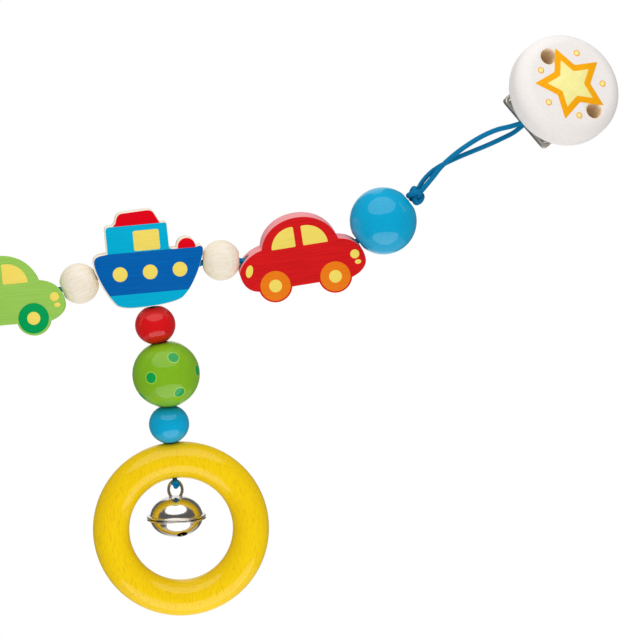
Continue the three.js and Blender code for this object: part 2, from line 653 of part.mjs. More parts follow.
function discGeometry() {
  const radius = DISC_DIAMETER / 2;
  const profile = [[0, 0]];
  const steps = 4;
  for (const [centre, from] of [[DISC_EDGE, Math.PI], [DISC_THICKNESS - DISC_EDGE, Math.PI / 2]]) {
    for (let i = 0; i <= steps; i += 1) {
      const angle = from - (i / steps) * (Math.PI / 2);
      profile.push([centre + DISC_EDGE * Math.cos(angle), radius - DISC_EDGE + DISC_EDGE * Math.sin(angle)]);
    }
  }
  profile.push([DISC_THICKNESS, 0]);
  const body = turned(profile, 28).rotateY(-Math.PI / 2);
  const vents = [1, -1].map((hand) => rod(DISC_HOLE, 3 * DISC_THICKNESS).rotateX(Math.PI / 2)
    .translate(0, hand * DISC_HOLE_SPREAD, 0));
  const socket = rod(RIVET_SHANK + 2 * SEAT_GAP, 2 * (RIVET_DEPTH + SEAT_GAP), 14).rotateX(Math.PI / 2);
  return shaped(body, { cut: [...vents, socket] }).translate(DISC_POSITION, 0, discBack);
}

function rivetGeometry() {
  const headTop = -SEAT_GAP - LEVER_THICKNESS - SEAT_GAP;
  const profile = [
    [headTop - RIVET_HEAD_HEIGHT, 0],
    [headTop - RIVET_HEAD_HEIGHT, 0.6 * RIVET_HEAD / 2],
    [headTop - RIVET_HEAD_HEIGHT / 2, RIVET_HEAD / 2],
    [headTop, RIVET_HEAD / 2],
    [headTop, RIVET_SHANK / 2],
    [RIVET_DEPTH, RIVET_SHANK / 2],
    [RIVET_DEPTH, 0],
  ];
  return turned(profile, 14).rotateY(-Math.PI / 2).translate(DISC_POSITION, 0, discBack);
}

function gripGeometry() {
  const start = PIN_POSITION - EAR_RADIUS;
  const ridges = 4;
  const pitch = (2 * EAR_RADIUS) / ridges;
  const shape = new THREE.Shape();
  shape.moveTo(start, gripTop - GRIP_THICKNESS);
  shape.lineTo(start + ridges * pitch, gripTop - GRIP_THICKNESS);
  for (let i = ridges; i > 0; i -= 1) {
    shape.lineTo(start + i * pitch, gripTop - GRIP_RIDGE);
    shape.lineTo(start + (i - 0.5) * pitch, gripTop);
  }
  shape.lineTo(start, gripTop - GRIP_RIDGE);
  return plate(shape, LEVER_WIDTH);
}

function pinGeometry() {
  return rod(PIN_DIAMETER, baseWidth + 2 * PIN_OVERHANG, 14).translate(PIN_POSITION, 0, pinHeight);
}

const clipPieces = [
  ['clip_base', baseGeometry(), nickel],
  ['clip_grip', gripGeometry(), clearGrip],
  ['clip_pin', pinGeometry(), nickel],
  ['clip_lever', leverGeometry(), nickel],
  ['clip_rivet', rivetGeometry(), nickel],
  ['clip_disc', discGeometry(), whiteLacquer],
];
for (const { name, side, bail } of Object.values(sides)) {
  const { out, bar, face } = clipAxes(side);
  const group = placed(chain, bail);
  group.quaternion.setFromRotationMatrix(new THREE.Matrix4().makeBasis(out, bar, face));
  for (const [part, geometry, material] of clipPieces) {
    piece(`${name}_${part}`, closed(geometry), material, group);
  }
}

// Pendant: the stack of beads and the ring hang below the keel on one cord
const keelHeight = boatPlace.z - keelDepth;
const redBeadHeight = keelHeight - PENDANT_GAP - BEAD_LENGTH / 2;
const spottedHeight = redBeadHeight - (BEAD_LENGTH + BALL_LENGTH) / 2 - STACK_GAP;
const blueBeadHeight = spottedHeight - (BEAD_LENGTH + BALL_LENGTH) / 2 - STACK_GAP;
const ringHeight = blueBeadHeight - BEAD_LENGTH / 2 - STACK_GAP - RING_DIAMETER / 2;
const ringCentreline = (RING_DIAMETER - RING_SECTION) / 2;
const ringInside = RING_DIAMETER / 2 - RING_SECTION;
const upright = [0, -Math.PI / 2, 0];
piece('red_bead', pendantBead, redLacquer, placed(chain, vector(0, 0, redBeadHeight), upright));
piece('spotted_ball', pendantBall, greenLacquer,
  placed(chain, vector(SPOTTED_BALL_OFFSET, 0, spottedHeight), upright));
piece('blue_bead', pendantBead, blueLacquer,
  placed(chain, vector(BLUE_BEAD_OFFSET, 0, blueBeadHeight), upright));
const ringBody = new THREE.TorusGeometry(ringCentreline, RING_SECTION / 2, 10, 36).rotateX(Math.PI / 2);
const ringBore = rod(PENDANT_BORE, 2 * RING_SECTION).rotateX(Math.PI / 2).translate(0, 0, ringCentreline);
piece('grasping_ring', shaped(ringBody, { cut: [ringBore] }), yellowStain,
  placed(chain, vector(0, 0, ringHeight)));

// The pendant cord is tied to the chain cord inside the boat, and bends where it leaves the keel
const bendHeight = keelHeight - CORD_GAP;
const ringTop = ringHeight + ringInside;
const tieTop = boatPlace.z - CORD_DIAMETER - CORD_GAP;
const tiePoints = [tieTop, boatPlace.z - keelDepth / 2, bendHeight + CORD_GAP];
piece('pendant_tie', cordTube(tiePoints.map((z) => vector(0, 0, z)), CORD_DIAMETER, 4), blueCord);
const pendantPoints = [
  vector(0, 0, bendHeight),
  vector(0, 0, redBeadHeight + 0.2 * BEAD_LENGTH),
  vector(0.3 * SPOTTED_BALL_OFFSET, 0, redBeadHeight - 0.4 * BEAD_LENGTH),
  vector(0.75 * SPOTTED_BALL_OFFSET, 0, spottedHeight + 0.3 * BALL_LENGTH),
  vector(SPOTTED_BALL_OFFSET, 0, spottedHeight),
  vector(0.8 * SPOTTED_BALL_OFFSET, 0, spottedHeight - 0.35 * BALL_LENGTH),
  vector(BLUE_BEAD_OFFSET, 0, blueBeadHeight),
  vector(0, 0, ringTop + 0.8 * RING_SECTION),
  vector(0, 0, ringTop + CORD_GAP),
];
piece('pendant_cord', cordTube(pendantPoints, CORD_DIAMETER, 22), blueCord);

// Bell: the cord's end hooks under the wire loop and is knotted in front of it
const wireTop = ringTop - BELL_GAP - BELL_WIRE / 2;
const hookDepth = (BELL_WIRE + CORD_DIAMETER) / 2 + CORD_GAP;
const knotDepth = -(BELL_WIRE + BELL_KNOT_DIAMETER) / 2 - CORD_GAP;
const knotHeight = ringTop - BELL_KNOT_DIAMETER / 2 - BELL_GAP;
const hookPoints = [
  vector(0, 0.8 * hookDepth, ringTop - 2 * CORD_GAP),
  vector(0, hookDepth, wireTop),
  vector(0, 0.7 * hookDepth, wireTop - 0.8 * hookDepth),
  vector(0, 0, wireTop - 1.15 * hookDepth),
  vector(0, 0.6 * knotDepth, wireTop - hookDepth),
  vector(0, knotDepth, knotHeight),
];
const bellKnot = new THREE.SphereGeometry(BELL_KNOT_DIAMETER / 2, 10, 8).rotateX(Math.PI / 2)
  .translate(0, knotDepth, knotHeight);
piece('bell_knot', shaped(cordTube(hookPoints, CORD_DIAMETER, 12), { add: [bellKnot] }), blueCord);

const loopMiddle = BELL_CROWN_HEIGHT + BELL_LOOP_HEIGHT - BELL_WIRE / 2;
const bellGroup = placed(chain, vector(0, 0, wireTop), [0, radians(BELL_LEAN), 0]);
const bellAxisDown = placed(bellGroup, vector(0, 0, -loopMiddle));

// Half an ellipse from the rim to the pole, on the bell's own axis
function bowl(radius, height, steps) {
  return Array.from({ length: steps + 1 }, (unused, i) => {
    const angle = (i / steps) * (Math.PI / 2);
    return [height * Math.sin(angle), i === steps ? 0 : radius * Math.cos(angle)];
  });
}

function shellProfile(height, seam, flange) {
  const outer = bowl(BELL_DIAMETER / 2, height, 6).filter(([along]) => along > seam + BELL_SHEET);
  const inside = bowl(BELL_DIAMETER / 2 - BELL_SHEET, height - BELL_SHEET, 6);
  const inner = inside.filter(([along]) => along > seam);
  return [
    [seam, BELL_DIAMETER / 2 - BELL_SHEET],
    [seam, flange / 2],
    [seam + BELL_SHEET, flange / 2],
    [seam + BELL_SHEET, BELL_DIAMETER / 2],
    ...outer,
    ...inner.reverse(),
  ];
}

const standing = (geometry) => geometry.rotateY(-Math.PI / 2);
const legSpread = (BELL_LOOP_WIDTH - BELL_WIRE) / 2;
const crown = standing(turned(shellProfile(BELL_CROWN_HEIGHT, BELL_SEAM_GAP / 2, BELL_FLANGE), 18));
const legHoles = [1, -1].map((hand) => rod(BELL_WIRE + 2 * SEAT_GAP, 2 * BELL_CROWN_HEIGHT, 10)
  .rotateX(Math.PI / 2).translate(hand * legSpread, 0, 1.5 * BELL_CROWN_HEIGHT));
piece('bell_crown', shaped(crown, { cut: legHoles }), nickel, bellAxisDown);
const bowlShell = standing(turned(shellProfile(BELL_BOWL_DEPTH, BELL_SEAM_GAP / 2, BELL_FLANGE), 18))
  .rotateX(Math.PI);
const slotHoles = [1, -1].map((hand) => rod(BELL_SLOT_HOLE, 2 * BELL_BOWL_DEPTH).rotateX(Math.PI / 2)
  .translate(0, 0, -BELL_BOWL_DEPTH)
  .rotateX(hand * radians(BELL_SLOT_HOLE_ANGLE))
  .rotateZ(radians(BELL_SLOT_TURN)));
const slotCut = new THREE.BoxGeometry(BELL_SLOT, 2 * BELL_SLOT_REACH, BELL_BOWL_DEPTH)
  .translate(0, 0, -BELL_BOWL_DEPTH)
  .rotateZ(radians(BELL_SLOT_TURN));
piece('bell_bowl', shaped(bowlShell, { cut: [...slotHoles, slotCut] }), nickel, bellAxisDown);

const legFoot = BELL_CROWN_HEIGHT - BELL_LOOP_ROOT;
const archMiddle = loopMiddle - legSpread;
const wirePoints = [vector(-legSpread, 0, legFoot), vector(-legSpread, 0, (legFoot + archMiddle) / 2)];
for (let angle = 180; angle >= 0; angle -= 22.5) {
  wirePoints.push(vector(
    legSpread * Math.cos(radians(angle)), 0, archMiddle + legSpread * Math.sin(radians(angle)),
  ));
}
wirePoints.push(vector(legSpread, 0, (legFoot + archMiddle) / 2), vector(legSpread, 0, legFoot));
piece('bell_wire_loop', cordTube(wirePoints, BELL_WIRE, 20), nickel, bellAxisDown);
const pelletHeight = -BELL_BOWL_DEPTH + BELL_SHEET + BELL_PELLET / 2 + PELLET_GAP;
piece('bell_pellet', closed(new THREE.SphereGeometry(BELL_PELLET / 2, 12, 8).rotateX(Math.PI / 2)), nickel,
  placed(bellAxisDown, vector(0, 0, pelletHeight)));

export default chain;
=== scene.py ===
# %% [markdown]
# # A wooden pram chain in a small photo studio
# Turned balls and beads, two cut-out cars and a boat hang on blue elastic cord between two clips. Below
# the boat hang more beads, a grasping ring and a bell. The solids come from a CAD model. Each step lays a
# finer surface over them, at the same place and in the same sizes, so nothing has to be fitted by eye.

# %% Load the solids
import json
import math

import bmesh
import bpy
from mathutils import Matrix, Vector


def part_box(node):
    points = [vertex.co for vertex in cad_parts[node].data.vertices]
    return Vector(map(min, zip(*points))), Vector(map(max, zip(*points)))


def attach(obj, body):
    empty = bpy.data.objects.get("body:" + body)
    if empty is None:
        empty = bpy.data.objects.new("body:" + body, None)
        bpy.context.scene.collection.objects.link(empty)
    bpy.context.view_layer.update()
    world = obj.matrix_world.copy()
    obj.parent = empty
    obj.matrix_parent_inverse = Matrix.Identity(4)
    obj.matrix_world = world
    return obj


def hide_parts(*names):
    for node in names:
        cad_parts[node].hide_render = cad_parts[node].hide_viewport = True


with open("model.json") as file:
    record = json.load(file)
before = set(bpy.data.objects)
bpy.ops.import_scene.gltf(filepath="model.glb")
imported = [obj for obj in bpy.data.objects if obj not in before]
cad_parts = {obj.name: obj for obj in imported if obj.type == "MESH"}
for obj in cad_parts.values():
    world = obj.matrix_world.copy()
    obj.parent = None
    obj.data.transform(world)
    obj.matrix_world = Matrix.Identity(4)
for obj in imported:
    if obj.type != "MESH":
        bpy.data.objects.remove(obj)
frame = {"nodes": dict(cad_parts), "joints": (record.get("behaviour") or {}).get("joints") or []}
cad_nodes = frame["nodes"]
joints = {joint["name"]: joint for joint in frame["joints"]}
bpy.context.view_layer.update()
scene = bpy.context.scene
scene.view_settings.view_transform = "Standard"
MM = 0.001

# %% [markdown]
# ## The camera
# The product picture was taken with a long lens from a little above and a little to the left, and then
# turned in the frame so that the chain climbs to the right. The angles and the lens were fitted to the
# centres of the balls, the beads, the wheels and the ring.

# %% Camera
PICTURE_HEIGHT = 640
AZIMUTH, ELEVATION, ROLL = (math.radians(angle) for angle in (-3.3, 6.7, 6.92))
CAMERA_DISTANCE = 1.1
CAMERA_AIM = Vector((0.0525, 0, -0.0559))
CAMERA_LENS, CAMERA_SENSOR = 186.7, 36


def frame_at(origin, x, y, z):
    """A place with the given origin in metres and the given axes."""
    return Matrix.Translation(origin) @ Matrix((x, y, z)).transposed().to_4x4()


backwards = Vector((
    math.sin(AZIMUTH) * math.cos(ELEVATION), -math.cos(AZIMUTH) * math.cos(ELEVATION), math.sin(ELEVATION),
))
level = Vector((math.cos(AZIMUTH), math.sin(AZIMUTH), 0))
upright = backwards.cross(level)
picture_right = level * math.cos(ROLL) - upright * math.sin(ROLL)
picture_up = level * math.sin(ROLL) + upright * math.cos(ROLL)
lens = bpy.data.cameras.new("camera")
lens.sensor_fit = "VERTICAL"
lens.sensor_height = CAMERA_SENSOR
lens.lens = CAMERA_LENS
camera = bpy.data.objects.new("camera", lens)
scene.collection.objects.link(camera)
camera_middle = CAMERA_AIM + CAMERA_DISTANCE * backwards
camera.matrix_world = frame_at(camera_middle, picture_right, picture_up, backwards)
scene.camera = camera
pixel = CAMERA_SENSOR / CAMERA_LENS * CAMERA_DISTANCE / PICTURE_HEIGHT
print("millimetres in one pixel", round(pixel / MM, 3))

# %% [markdown]
# ## Small tools for materials
# Blender's shaders work in linear light, so one function turns a written colour into it. Another adds a
# node with its settings and links. Most finishes here are two close tones that follow a fine noise, such as
# grain or yarn, so a third function builds that. Patterns use object coordinates, and so stay on a piece
# when it moves.

# %% Colour and node tools
COLOUR_FACTOR, COLOUR_A, COLOUR_B, COLOUR_OUT = 0, 6, 7, 2


def linear(colour):
    channels = [int(colour[i:i + 2], 16) / 255 for i in (1, 3, 5)]
    return tuple(c / 12.92 if c <= 0.04045 else ((c + 0.055) / 1.055) ** 2.4 for c in channels) + (1.0,)


def add_node(tree, kind, inputs=None, **settings):
    node = tree.nodes.new("ShaderNode" + kind)
    for name, value in settings.items():
        setattr(node, name, value)
    for socket, value in (inputs or {}).items():
        if isinstance(value, bpy.types.NodeSocket):
            tree.links.new(value, node.inputs[socket])
        else:
            node.inputs[socket].default_value = value
    return node


def start_material(name):
    material = bpy.data.materials.new(name)
    material.use_nodes = True
    material.node_tree.nodes.clear()
    return material, material.node_tree


def two_tone(name, tones, cell, noise, skin, spread=(0, 1), relief=None, relief_cell=None):
    """A material in two tones that follow a noise.

    cell is the noise's size in millimetres along X, Y and Z, noise holds its other inputs, and skin the
    shader's. The tones change over the stretch of noise in spread. relief is a strength and a depth in
    millimetres, for the same noise or for a round one with its own cell.
    """
    material, tree = start_material(name)
    where = add_node(tree, "TexCoord").outputs["Object"]
    space = add_node(tree, "Mapping", {"Vector": where, "Scale": [1 / (size * MM) for size in cell]})
    height = add_node(tree, "TexNoise", {"Vector": space.outputs[0], "Scale": 1.0, **noise}).outputs["Fac"]
    share = add_node(tree, "MapRange", {"Value": height, "From Min": spread[0], "From Max": spread[1]})
    tone = add_node(tree, "Mix", {
        COLOUR_FACTOR: share.outputs[0], COLOUR_A: linear(tones[0]), COLOUR_B: linear(tones[1]),
    }, data_type="RGBA")
    shader = add_node(tree, "BsdfPrincipled", {"Base Color": tone.outputs[COLOUR_OUT], **skin})
    if relief_cell:
        ripple = {"Vector": where, "Scale": 1 / (relief_cell * MM), "Detail": 1.0}
        height = add_node(tree, "TexNoise", ripple).outputs["Fac"]
    if relief:
        strength, depth = relief
        bump = add_node(tree, "Bump", {"Height": height, "Strength": strength, "Distance": depth * MM})
        tree.links.new(bump.outputs["Normal"], shader.inputs["Normal"])
    add_node(tree, "OutputMaterial", {"Surface": shader.outputs[0]})
    return material


# %% [markdown]
# ## Small tools for meshes
# The mesh tools work in millimetres in each piece's own axes, and the object's matrix puts the piece where
# the solid is. Nearly every form here is a skin over a row of rings: a lathe turns a profile into rings, a
# drill and a cord have a ring at each step, and a board has one at each depth.

# %% Mesh tools
SMOOTH_ANGLE = 40
FLAT_CORNERS = 12
WELD_DISTANCE = 1e-4


def turns(count):
    return [2 * math.pi * i / count for i in range(count)]


def quarter(steps):
    return [math.pi / 2 * i / steps for i in range(steps + 1)]


def shade(mesh, smooth_angle):
    """Smooth shading, except across sharp edges and on large plain faces."""
    mesh.polygons.foreach_set("use_smooth", [face.loop_total < FLAT_CORNERS for face in mesh.polygons])
    mesh.set_sharp_from_angle(angle=math.radians(smooth_angle))


def make_piece(name, corners, faces, materials, place, smooth_angle=SMOOTH_ANGLE, weld=False):
    mesh = bpy.data.meshes.new(name)
    mesh.from_pydata([Vector(corner) * MM for corner in corners], [], faces)
    if weld:
        shell = bmesh.new()
        shell.from_mesh(mesh)
        bmesh.ops.remove_doubles(shell, verts=shell.verts, dist=WELD_DISTANCE * MM)
        loose = [edge for edge in shell.edges if not edge.link_faces]
        bmesh.ops.delete(shell, geom=loose, context="EDGES")
        shell.to_mesh(mesh)
        shell.free()
    shade(mesh, smooth_angle)
    for material in materials:
        mesh.materials.append(material)
    piece = bpy.data.objects.new(name, mesh)
    scene.collection.objects.link(piece)
    piece.matrix_world = place
    bpy.context.view_layer.update()
    return piece


def settle(piece, body, slot, *nodes):
    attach(piece, body)
    if nodes:
        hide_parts(*nodes)
    return piece


def loft(rings, closed=False):
    """A skin over rings of equally many corners, closed on itself or with a cap at each end."""
    count = len(rings[0])
    corners = [corner for ring in rings for corner in ring]
    faces = []
    for k in range(len(rings) if closed else len(rings) - 1):
        here, there = k * count, (k + 1) % len(rings) * count
        for i in range(count):
            j = (i + 1) % count
            faces.append((here + i, here + j, there + j, there + i))
    if not closed:
        faces += [tuple(reversed(range(count))), tuple(range(len(corners) - count, len(corners)))]
    return corners, faces


def lathe(profile, segments):
    """A closed profile of (along, radius) points, turned about X."""
    return loft([
        [(along, radius * math.cos(turn), radius * math.sin(turn)) for along, radius in profile]
        for turn in turns(segments)
    ], closed=True)


def place_along(position, axis):
    x = Vector(axis).normalized()
    y = Vector((0, 1, 0))
    return frame_at(Vector(position), x, y, x.cross(y))


# %% Cutting tools
DRILL_SEGMENTS = 40


def cut_away(piece, cutters):
    for cutter in cutters:
        knife = piece.modifiers.new("cut", "BOOLEAN")
        knife.object = cutter
        knife.operation = "DIFFERENCE"
        knife.solver = "EXACT"
        knife.material_mode = "TRANSFER"
    ready = piece.evaluated_get(bpy.context.evaluated_depsgraph_get())
    mesh = bpy.data.meshes.new_from_object(ready)
    piece.modifiers.clear()
    piece.data = mesh
    shade(mesh, SMOOTH_ANGLE)
    for cutter in cutters:
        bpy.data.objects.remove(cutter)
    return piece


def drill(name, sections, material, place):
    """A round cutter along its own X axis, from (along, radius) sections in rising order."""
    rings = [
        [(along, radius * math.cos(turn), radius * math.sin(turn)) for turn in turns(DRILL_SEGMENTS)]
        for along, radius in sections
    ]
    return make_piece(name, *loft(rings), [material], place)


# %% [markdown]
# ## Light and surroundings
# The picture has two soft lights, a wide one overhead and another one below, which is why each ball carries
# a broad highlight near its top and one near its bottom. The background is plain white: the world shows
# white to the camera and to reflections, and gives the rest of the scene a gentle fill. Around the toy a
# studio is dim, so a grey curtain that only reflections see keeps a white veil off the lacquer, and gives
# the bell its soft greys.

# %% World and lamps
FILL_STRENGTH = 0.47
LAMP_AIM = Vector((0.03, 0, -0.06))
LAMPS = [
    ("overhead softbox", (0.04, -0.28, 0.48), 1.1, 0.78, 3.5),
    ("low softbox", (0.04, -0.32, -0.57), 1.0, 0.6, 2.6),
]
scene.world = bpy.data.worlds.new("white studio")
scene.world.use_nodes = True
air = scene.world.node_tree
air.nodes.clear()
rays = add_node(air, "LightPath")
seen = rays.outputs["Is Camera Ray"]
for kind in ("Is Glossy Ray", "Is Transmission Ray"):
    seen = add_node(air, "Math", {0: seen, 1: rays.outputs[kind]}, operation="MAXIMUM").outputs[0]
fill = add_node(air, "Background", {"Color": linear("#FFFFFF"), "Strength": FILL_STRENGTH})
white = add_node(air, "Background", {"Color": linear("#FFFFFF"), "Strength": 1.0})
sky = add_node(air, "MixShader", {0: seen, 1: fill.outputs[0], 2: white.outputs[0]})
add_node(air, "OutputWorld", {"Surface": sky.outputs[0]})
for name, position, width, depth, power in LAMPS:
    lamp = bpy.data.lights.new(name, "AREA")
    lamp.shape = "ELLIPSE"
    lamp.size = width
    lamp.size_y = depth
    lamp.energy = power
    light = bpy.data.objects.new(name, lamp)
    scene.collection.objects.link(light)
    light.location = position
    light.rotation_euler = (LAMP_AIM - light.location).to_track_quat("-Z", "Y").to_euler()
    light.visible_camera = False
print("lamps", len(LAMPS))

# %% Floor and curtain
FLOOR_HEIGHT, FLOOR_HALF = -750, 700
CURTAIN_RADIUS, CURTAIN_LOW, CURTAIN_HIGH = 1600, -2400, 3200
CURTAIN_SPAN, CURTAIN_FOLDS, FOLD_DEPTH = math.radians(165), 110, 30
AT_ORIGIN = Matrix.Identity(4)
paper = two_tone(
    "white studio paper", ("#F4F4F2", "#FAFAF8"), (4, 4, 4), {"Detail": 3.0}, {"Roughness": 0.9},
)
velvet = two_tone(
    "grey studio velvet", ("#7E7E80", "#8C8C8E"), (60, 60, 60), {"Detail": 2.0}, {"Roughness": 0.95},
)
floor_corners = [
    (x * FLOOR_HALF, y * FLOOR_HALF, FLOOR_HEIGHT) for x, y in ((-1, -1), (1, -1), (1, 1), (-1, 1))
]
make_piece("studio_floor", floor_corners, [(0, 1, 2, 3)], [paper], AT_ORIGIN)
corners = []
for i in range(CURTAIN_FOLDS + 1):
    turn = CURTAIN_SPAN * (2 * i / CURTAIN_FOLDS - 1)
    reach = CURTAIN_RADIUS + (FOLD_DEPTH if i % 2 else 0)
    corners += [(reach * math.sin(turn), -reach * math.cos(turn), z) for z in (CURTAIN_LOW, CURTAIN_HIGH)]
faces = [(2 * i, 2 * i + 2, 2 * i + 3, 2 * i + 1) for i in range(CURTAIN_FOLDS)]
faces.append(tuple(range(1, len(corners), 2)))
curtain = make_piece("studio_curtain", corners, faces, [velvet], AT_ORIGIN, 0)
curtain.visible_camera = False
curtain.visible_diffuse = False
curtain.visible_shadow = False
print("curtain folds", CURTAIN_FOLDS)

# %% [markdown]
# ## Braided elastic cord
# The cord is a rubber core in a tight braid of blue polyester. From a step away the braid shows as a fine
# crossing of ridges with a soft sheen. It could be a bump pattern, but then the outline would stay smooth,
# so the tube's radius itself swells where one yarn crosses over another. The yarns are drawn about twice as
# coarse as real ones, which would be too fine to show.

# %% Cord material
CORD_DIAMETER = 1.7
YARN_SPACING, YARN_RIDGE, YARNS_AROUND = 0.45, 0.04, 4
braid = two_tone(
    "braided polyester elastic", ("#00588A", "#0087B6"), [YARN_SPACING] * 3,
    {"Detail": 2.0, "Roughness": 0.6},
    {"Roughness": 0.7, "Specular IOR Level": 0.1, "Sheen Weight": 0.05, "Sheen Roughness": 0.4,
     "Sheen Tint": linear("#8CCBEA")}, relief=(0.35, 0.08),
)

# %% Cord mesh
CORD_SIDES, WIRE_SIDES = 20, 16
ROUTE_STEPS = 24
CORD_SMOOTH_ANGLE = 60


def smooth_route(points, spacing):
    """Points at an even spacing along a curve that runs through all the given points, and its length."""
    padded = [2 * points[0] - points[1], *points, 2 * points[-1] - points[-2]]
    fine = []
    for i in range(len(points) - 1):
        a, b, c, d = padded[i:i + 4]
        before, here, after = (math.sqrt((q - p).length) for p, q in ((a, b), (b, c), (c, d)))
        leave = c - b + here * ((b - a) / before - (c - a) / (before + here))
        arrive = c - b + here * ((d - c) / after - (d - b) / (here + after))
        for j in range(ROUTE_STEPS):
            t = j / ROUTE_STEPS
            bend = t ** 2 * (3 * (c - b) - 2 * leave - arrive) + t ** 3 * (2 * (b - c) + leave + arrive)
            fine.append(b + t * leave + bend)
    fine.append(points[-1])
    travelled = [0.0]
    for p, q in zip(fine, fine[1:]):
        travelled.append(travelled[-1] + (q - p).length)
    count = max(2, round(travelled[-1] / spacing))
    route, k = [], 0
    for i in range(count + 1):
        goal = travelled[-1] * i / count
        while k < len(fine) - 2 and travelled[k + 1] < goal:
            k += 1
        share = (goal - travelled[k]) / (travelled[k + 1] - travelled[k])
        route.append(fine[k].lerp(fine[k + 1], min(1, share)))
    return route, travelled[-1]


def cord_piece(name, points, diameter, spacing, sides=CORD_SIDES, ridge=YARN_RIDGE, material=braid):
    """A tube along the points with a braid's ridges, its route and its length. All in millimetres."""
    route, length = smooth_route([Vector(p) for p in points], spacing)
    rings = []
    across = Vector((0.3, 1, 0.2))
    for i, point in enumerate(route):
        ahead = (route[min(i + 1, len(route) - 1)] - route[max(i - 1, 0)]).normalized()
        across = (across - across.dot(ahead) * ahead).normalized()
        other = ahead.cross(across)
        travel = 2 * math.pi * i * spacing / (YARNS_AROUND * YARN_SPACING)
        ring = []
        for turn in turns(sides):
            swell = math.cos(YARNS_AROUND * turn + travel) * math.cos(YARNS_AROUND * turn - travel)
            radius = diameter / 2 - ridge + ridge * swell
            ring.append(point + radius * (math.cos(turn) * across + math.sin(turn) * other))
        rings.append(ring)
    return make_piece(name, *loft(rings), [material], AT_ORIGIN, CORD_SMOOTH_ANGLE), route, length


# %% [markdown]
# ## Where each piece is
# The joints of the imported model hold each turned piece's middle and axis, so they are read from there. The
# cut-outs also lean a little about the cord, and the clips are turned up and outwards; those few angles are
# repeated here.

# %% Places of the pieces
SIDES = {"right": 1, "left": -1}
CARS = {"right": "red", "left": "green"}
BEAD_DIAMETER, BEAD_LENGTH = 13.4, 11.9
BALL_DIAMETER, BALL_LENGTH = 22.4, 21.2
CHAIN_BORE, PENDANT_BORE = 4.5, 4.0
RING_DIAMETER, RING_SECTION = 58.6, 12.1
BAIL_REACH = 129.35


def mm(point):
    return Vector(point) / MM


def joint_middle(name):
    return mm(joints[name]["pos_m"])


def joint_axis(name):
    return Vector(joints[name]["axis"])


def knot_middle(side):
    low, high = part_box(f"{side}_knot")
    return mm((low + high) / 2)


boat_place = joint_middle("boat_roll")
ring_place = joint_middle("ring_turn")
ring_top = ring_place.z + RING_DIAMETER / 2 - RING_SECTION
print("boat", [round(v, 2) for v in boat_place], "ring", [round(v, 2) for v in ring_place])

# %% [markdown]
# ## The cords
# The cord is doubled. Each end makes a loop through a clip's bail: two strands leave the knot, cross once
# and run on to the bar. Those two loops are the free cords of the toy. Inside the bores the two strands run
# side by side. A station of a loop is its share of the way to the bail, its offset and its depth.

# %% Cord loops
LOOP_OUT = [
    (0.2, 2.1, -0.9), (0.28, 3.3, -1.1), (0.42, 4.3, -1.2), (0.55, 4.6, -1.3), (0.68, 4.4, -1.5),
    (0.8, 3.5, -1.8), (0.9, 2, -2.1),
]
LOOP_BACK = [
    (0.9, -0.7, 2.1), (0.8, -0.2, 1.8), (0.68, 0.6, 1.5), (0.55, 1.7, 1.3), (0.42, 2.75, 1.2),
    (0.28, 3.5, 1.1), (0.2, 3.4, 1.0), (0.12, 2.6, 0.95),
]
LOOP_BEND, BEND_ANGLES = 1.95, (15, 53, 90, 127, 165)
LOOP_STEP = 0.35
CORD_SPREAD = 1.0
KNOT_TILT, KNOT_LENGTH = math.radians(40), 5.2
CLIP_TURN, CLIP_RISE, CLIP_TIP = (math.radians(angle) for angle in (29.3, 25.9, 22.9))


def clip_axes(side):
    """Directions out along the clip, along the bail's bar and out of the disc's face."""
    hand = SIDES[side]
    flat = Vector((hand * math.sin(CLIP_TURN), -math.cos(CLIP_TURN), 0))
    level_out = Vector((hand * math.cos(CLIP_TURN), math.sin(CLIP_TURN), 0))
    out = math.cos(CLIP_RISE) * level_out + Vector((0, 0, math.sin(CLIP_RISE)))
    up = (Vector((0, 0, 1)) - out.z * out).normalized()
    face = math.cos(CLIP_TIP) * flat + math.sin(CLIP_TIP) * up
    return out, face.cross(out), face


def knot_axis(side):
    return Vector((SIDES[side] * math.cos(KNOT_TILT), 0, math.sin(KNOT_TILT)))


def at_depth(point, depth):
    return Vector((point.x, depth, point.z))


def loop_route(side):
    bail = Vector((SIDES[side] * BAIL_REACH, 0, 0))
    knot = knot_middle(side)
    run = bail - knot
    sideways = SIDES[side] * Vector((-run.z, 0, run.x)).normalized()
    out, _, face = clip_axes(side)
    knot_top = knot + KNOT_LENGTH / 4 * knot_axis(side)
    start, end = (at_depth(knot_top + depth / 2 * sideways, depth) for depth in (-CORD_SPREAD, CORD_SPREAD))
    leaving, coming = (
        [at_depth(knot + share * run + off * sideways, depth) for share, off, depth in stations]
        for stations in (LOOP_OUT, LOOP_BACK)
    )
    bend = [
        bail + LOOP_BEND * (math.cos(turn) * face + math.sin(turn) * out)
        for turn in map(math.radians, BEND_ANGLES)
    ]
    return [start, *leaving, *bend, *coming, end]


for side in SIDES:
    loop, route, length = cord_piece(f"{side}_elastic_loop", loop_route(side), CORD_DIAMETER, LOOP_STEP)
    settle(loop, "chain", "cord", f"{side}_cord_loop")
    print(side, "loop", round(length, 1), "mm")

# %% Strands inside the bores
CAR_FRONT = 20.8
BOAT_BOW, BOAT_STERN = 18.4, -18.1
STRAND_STEP, PENDANT_STEP = 0.6, 0.5
KNOT_CLEARANCE = 0.3


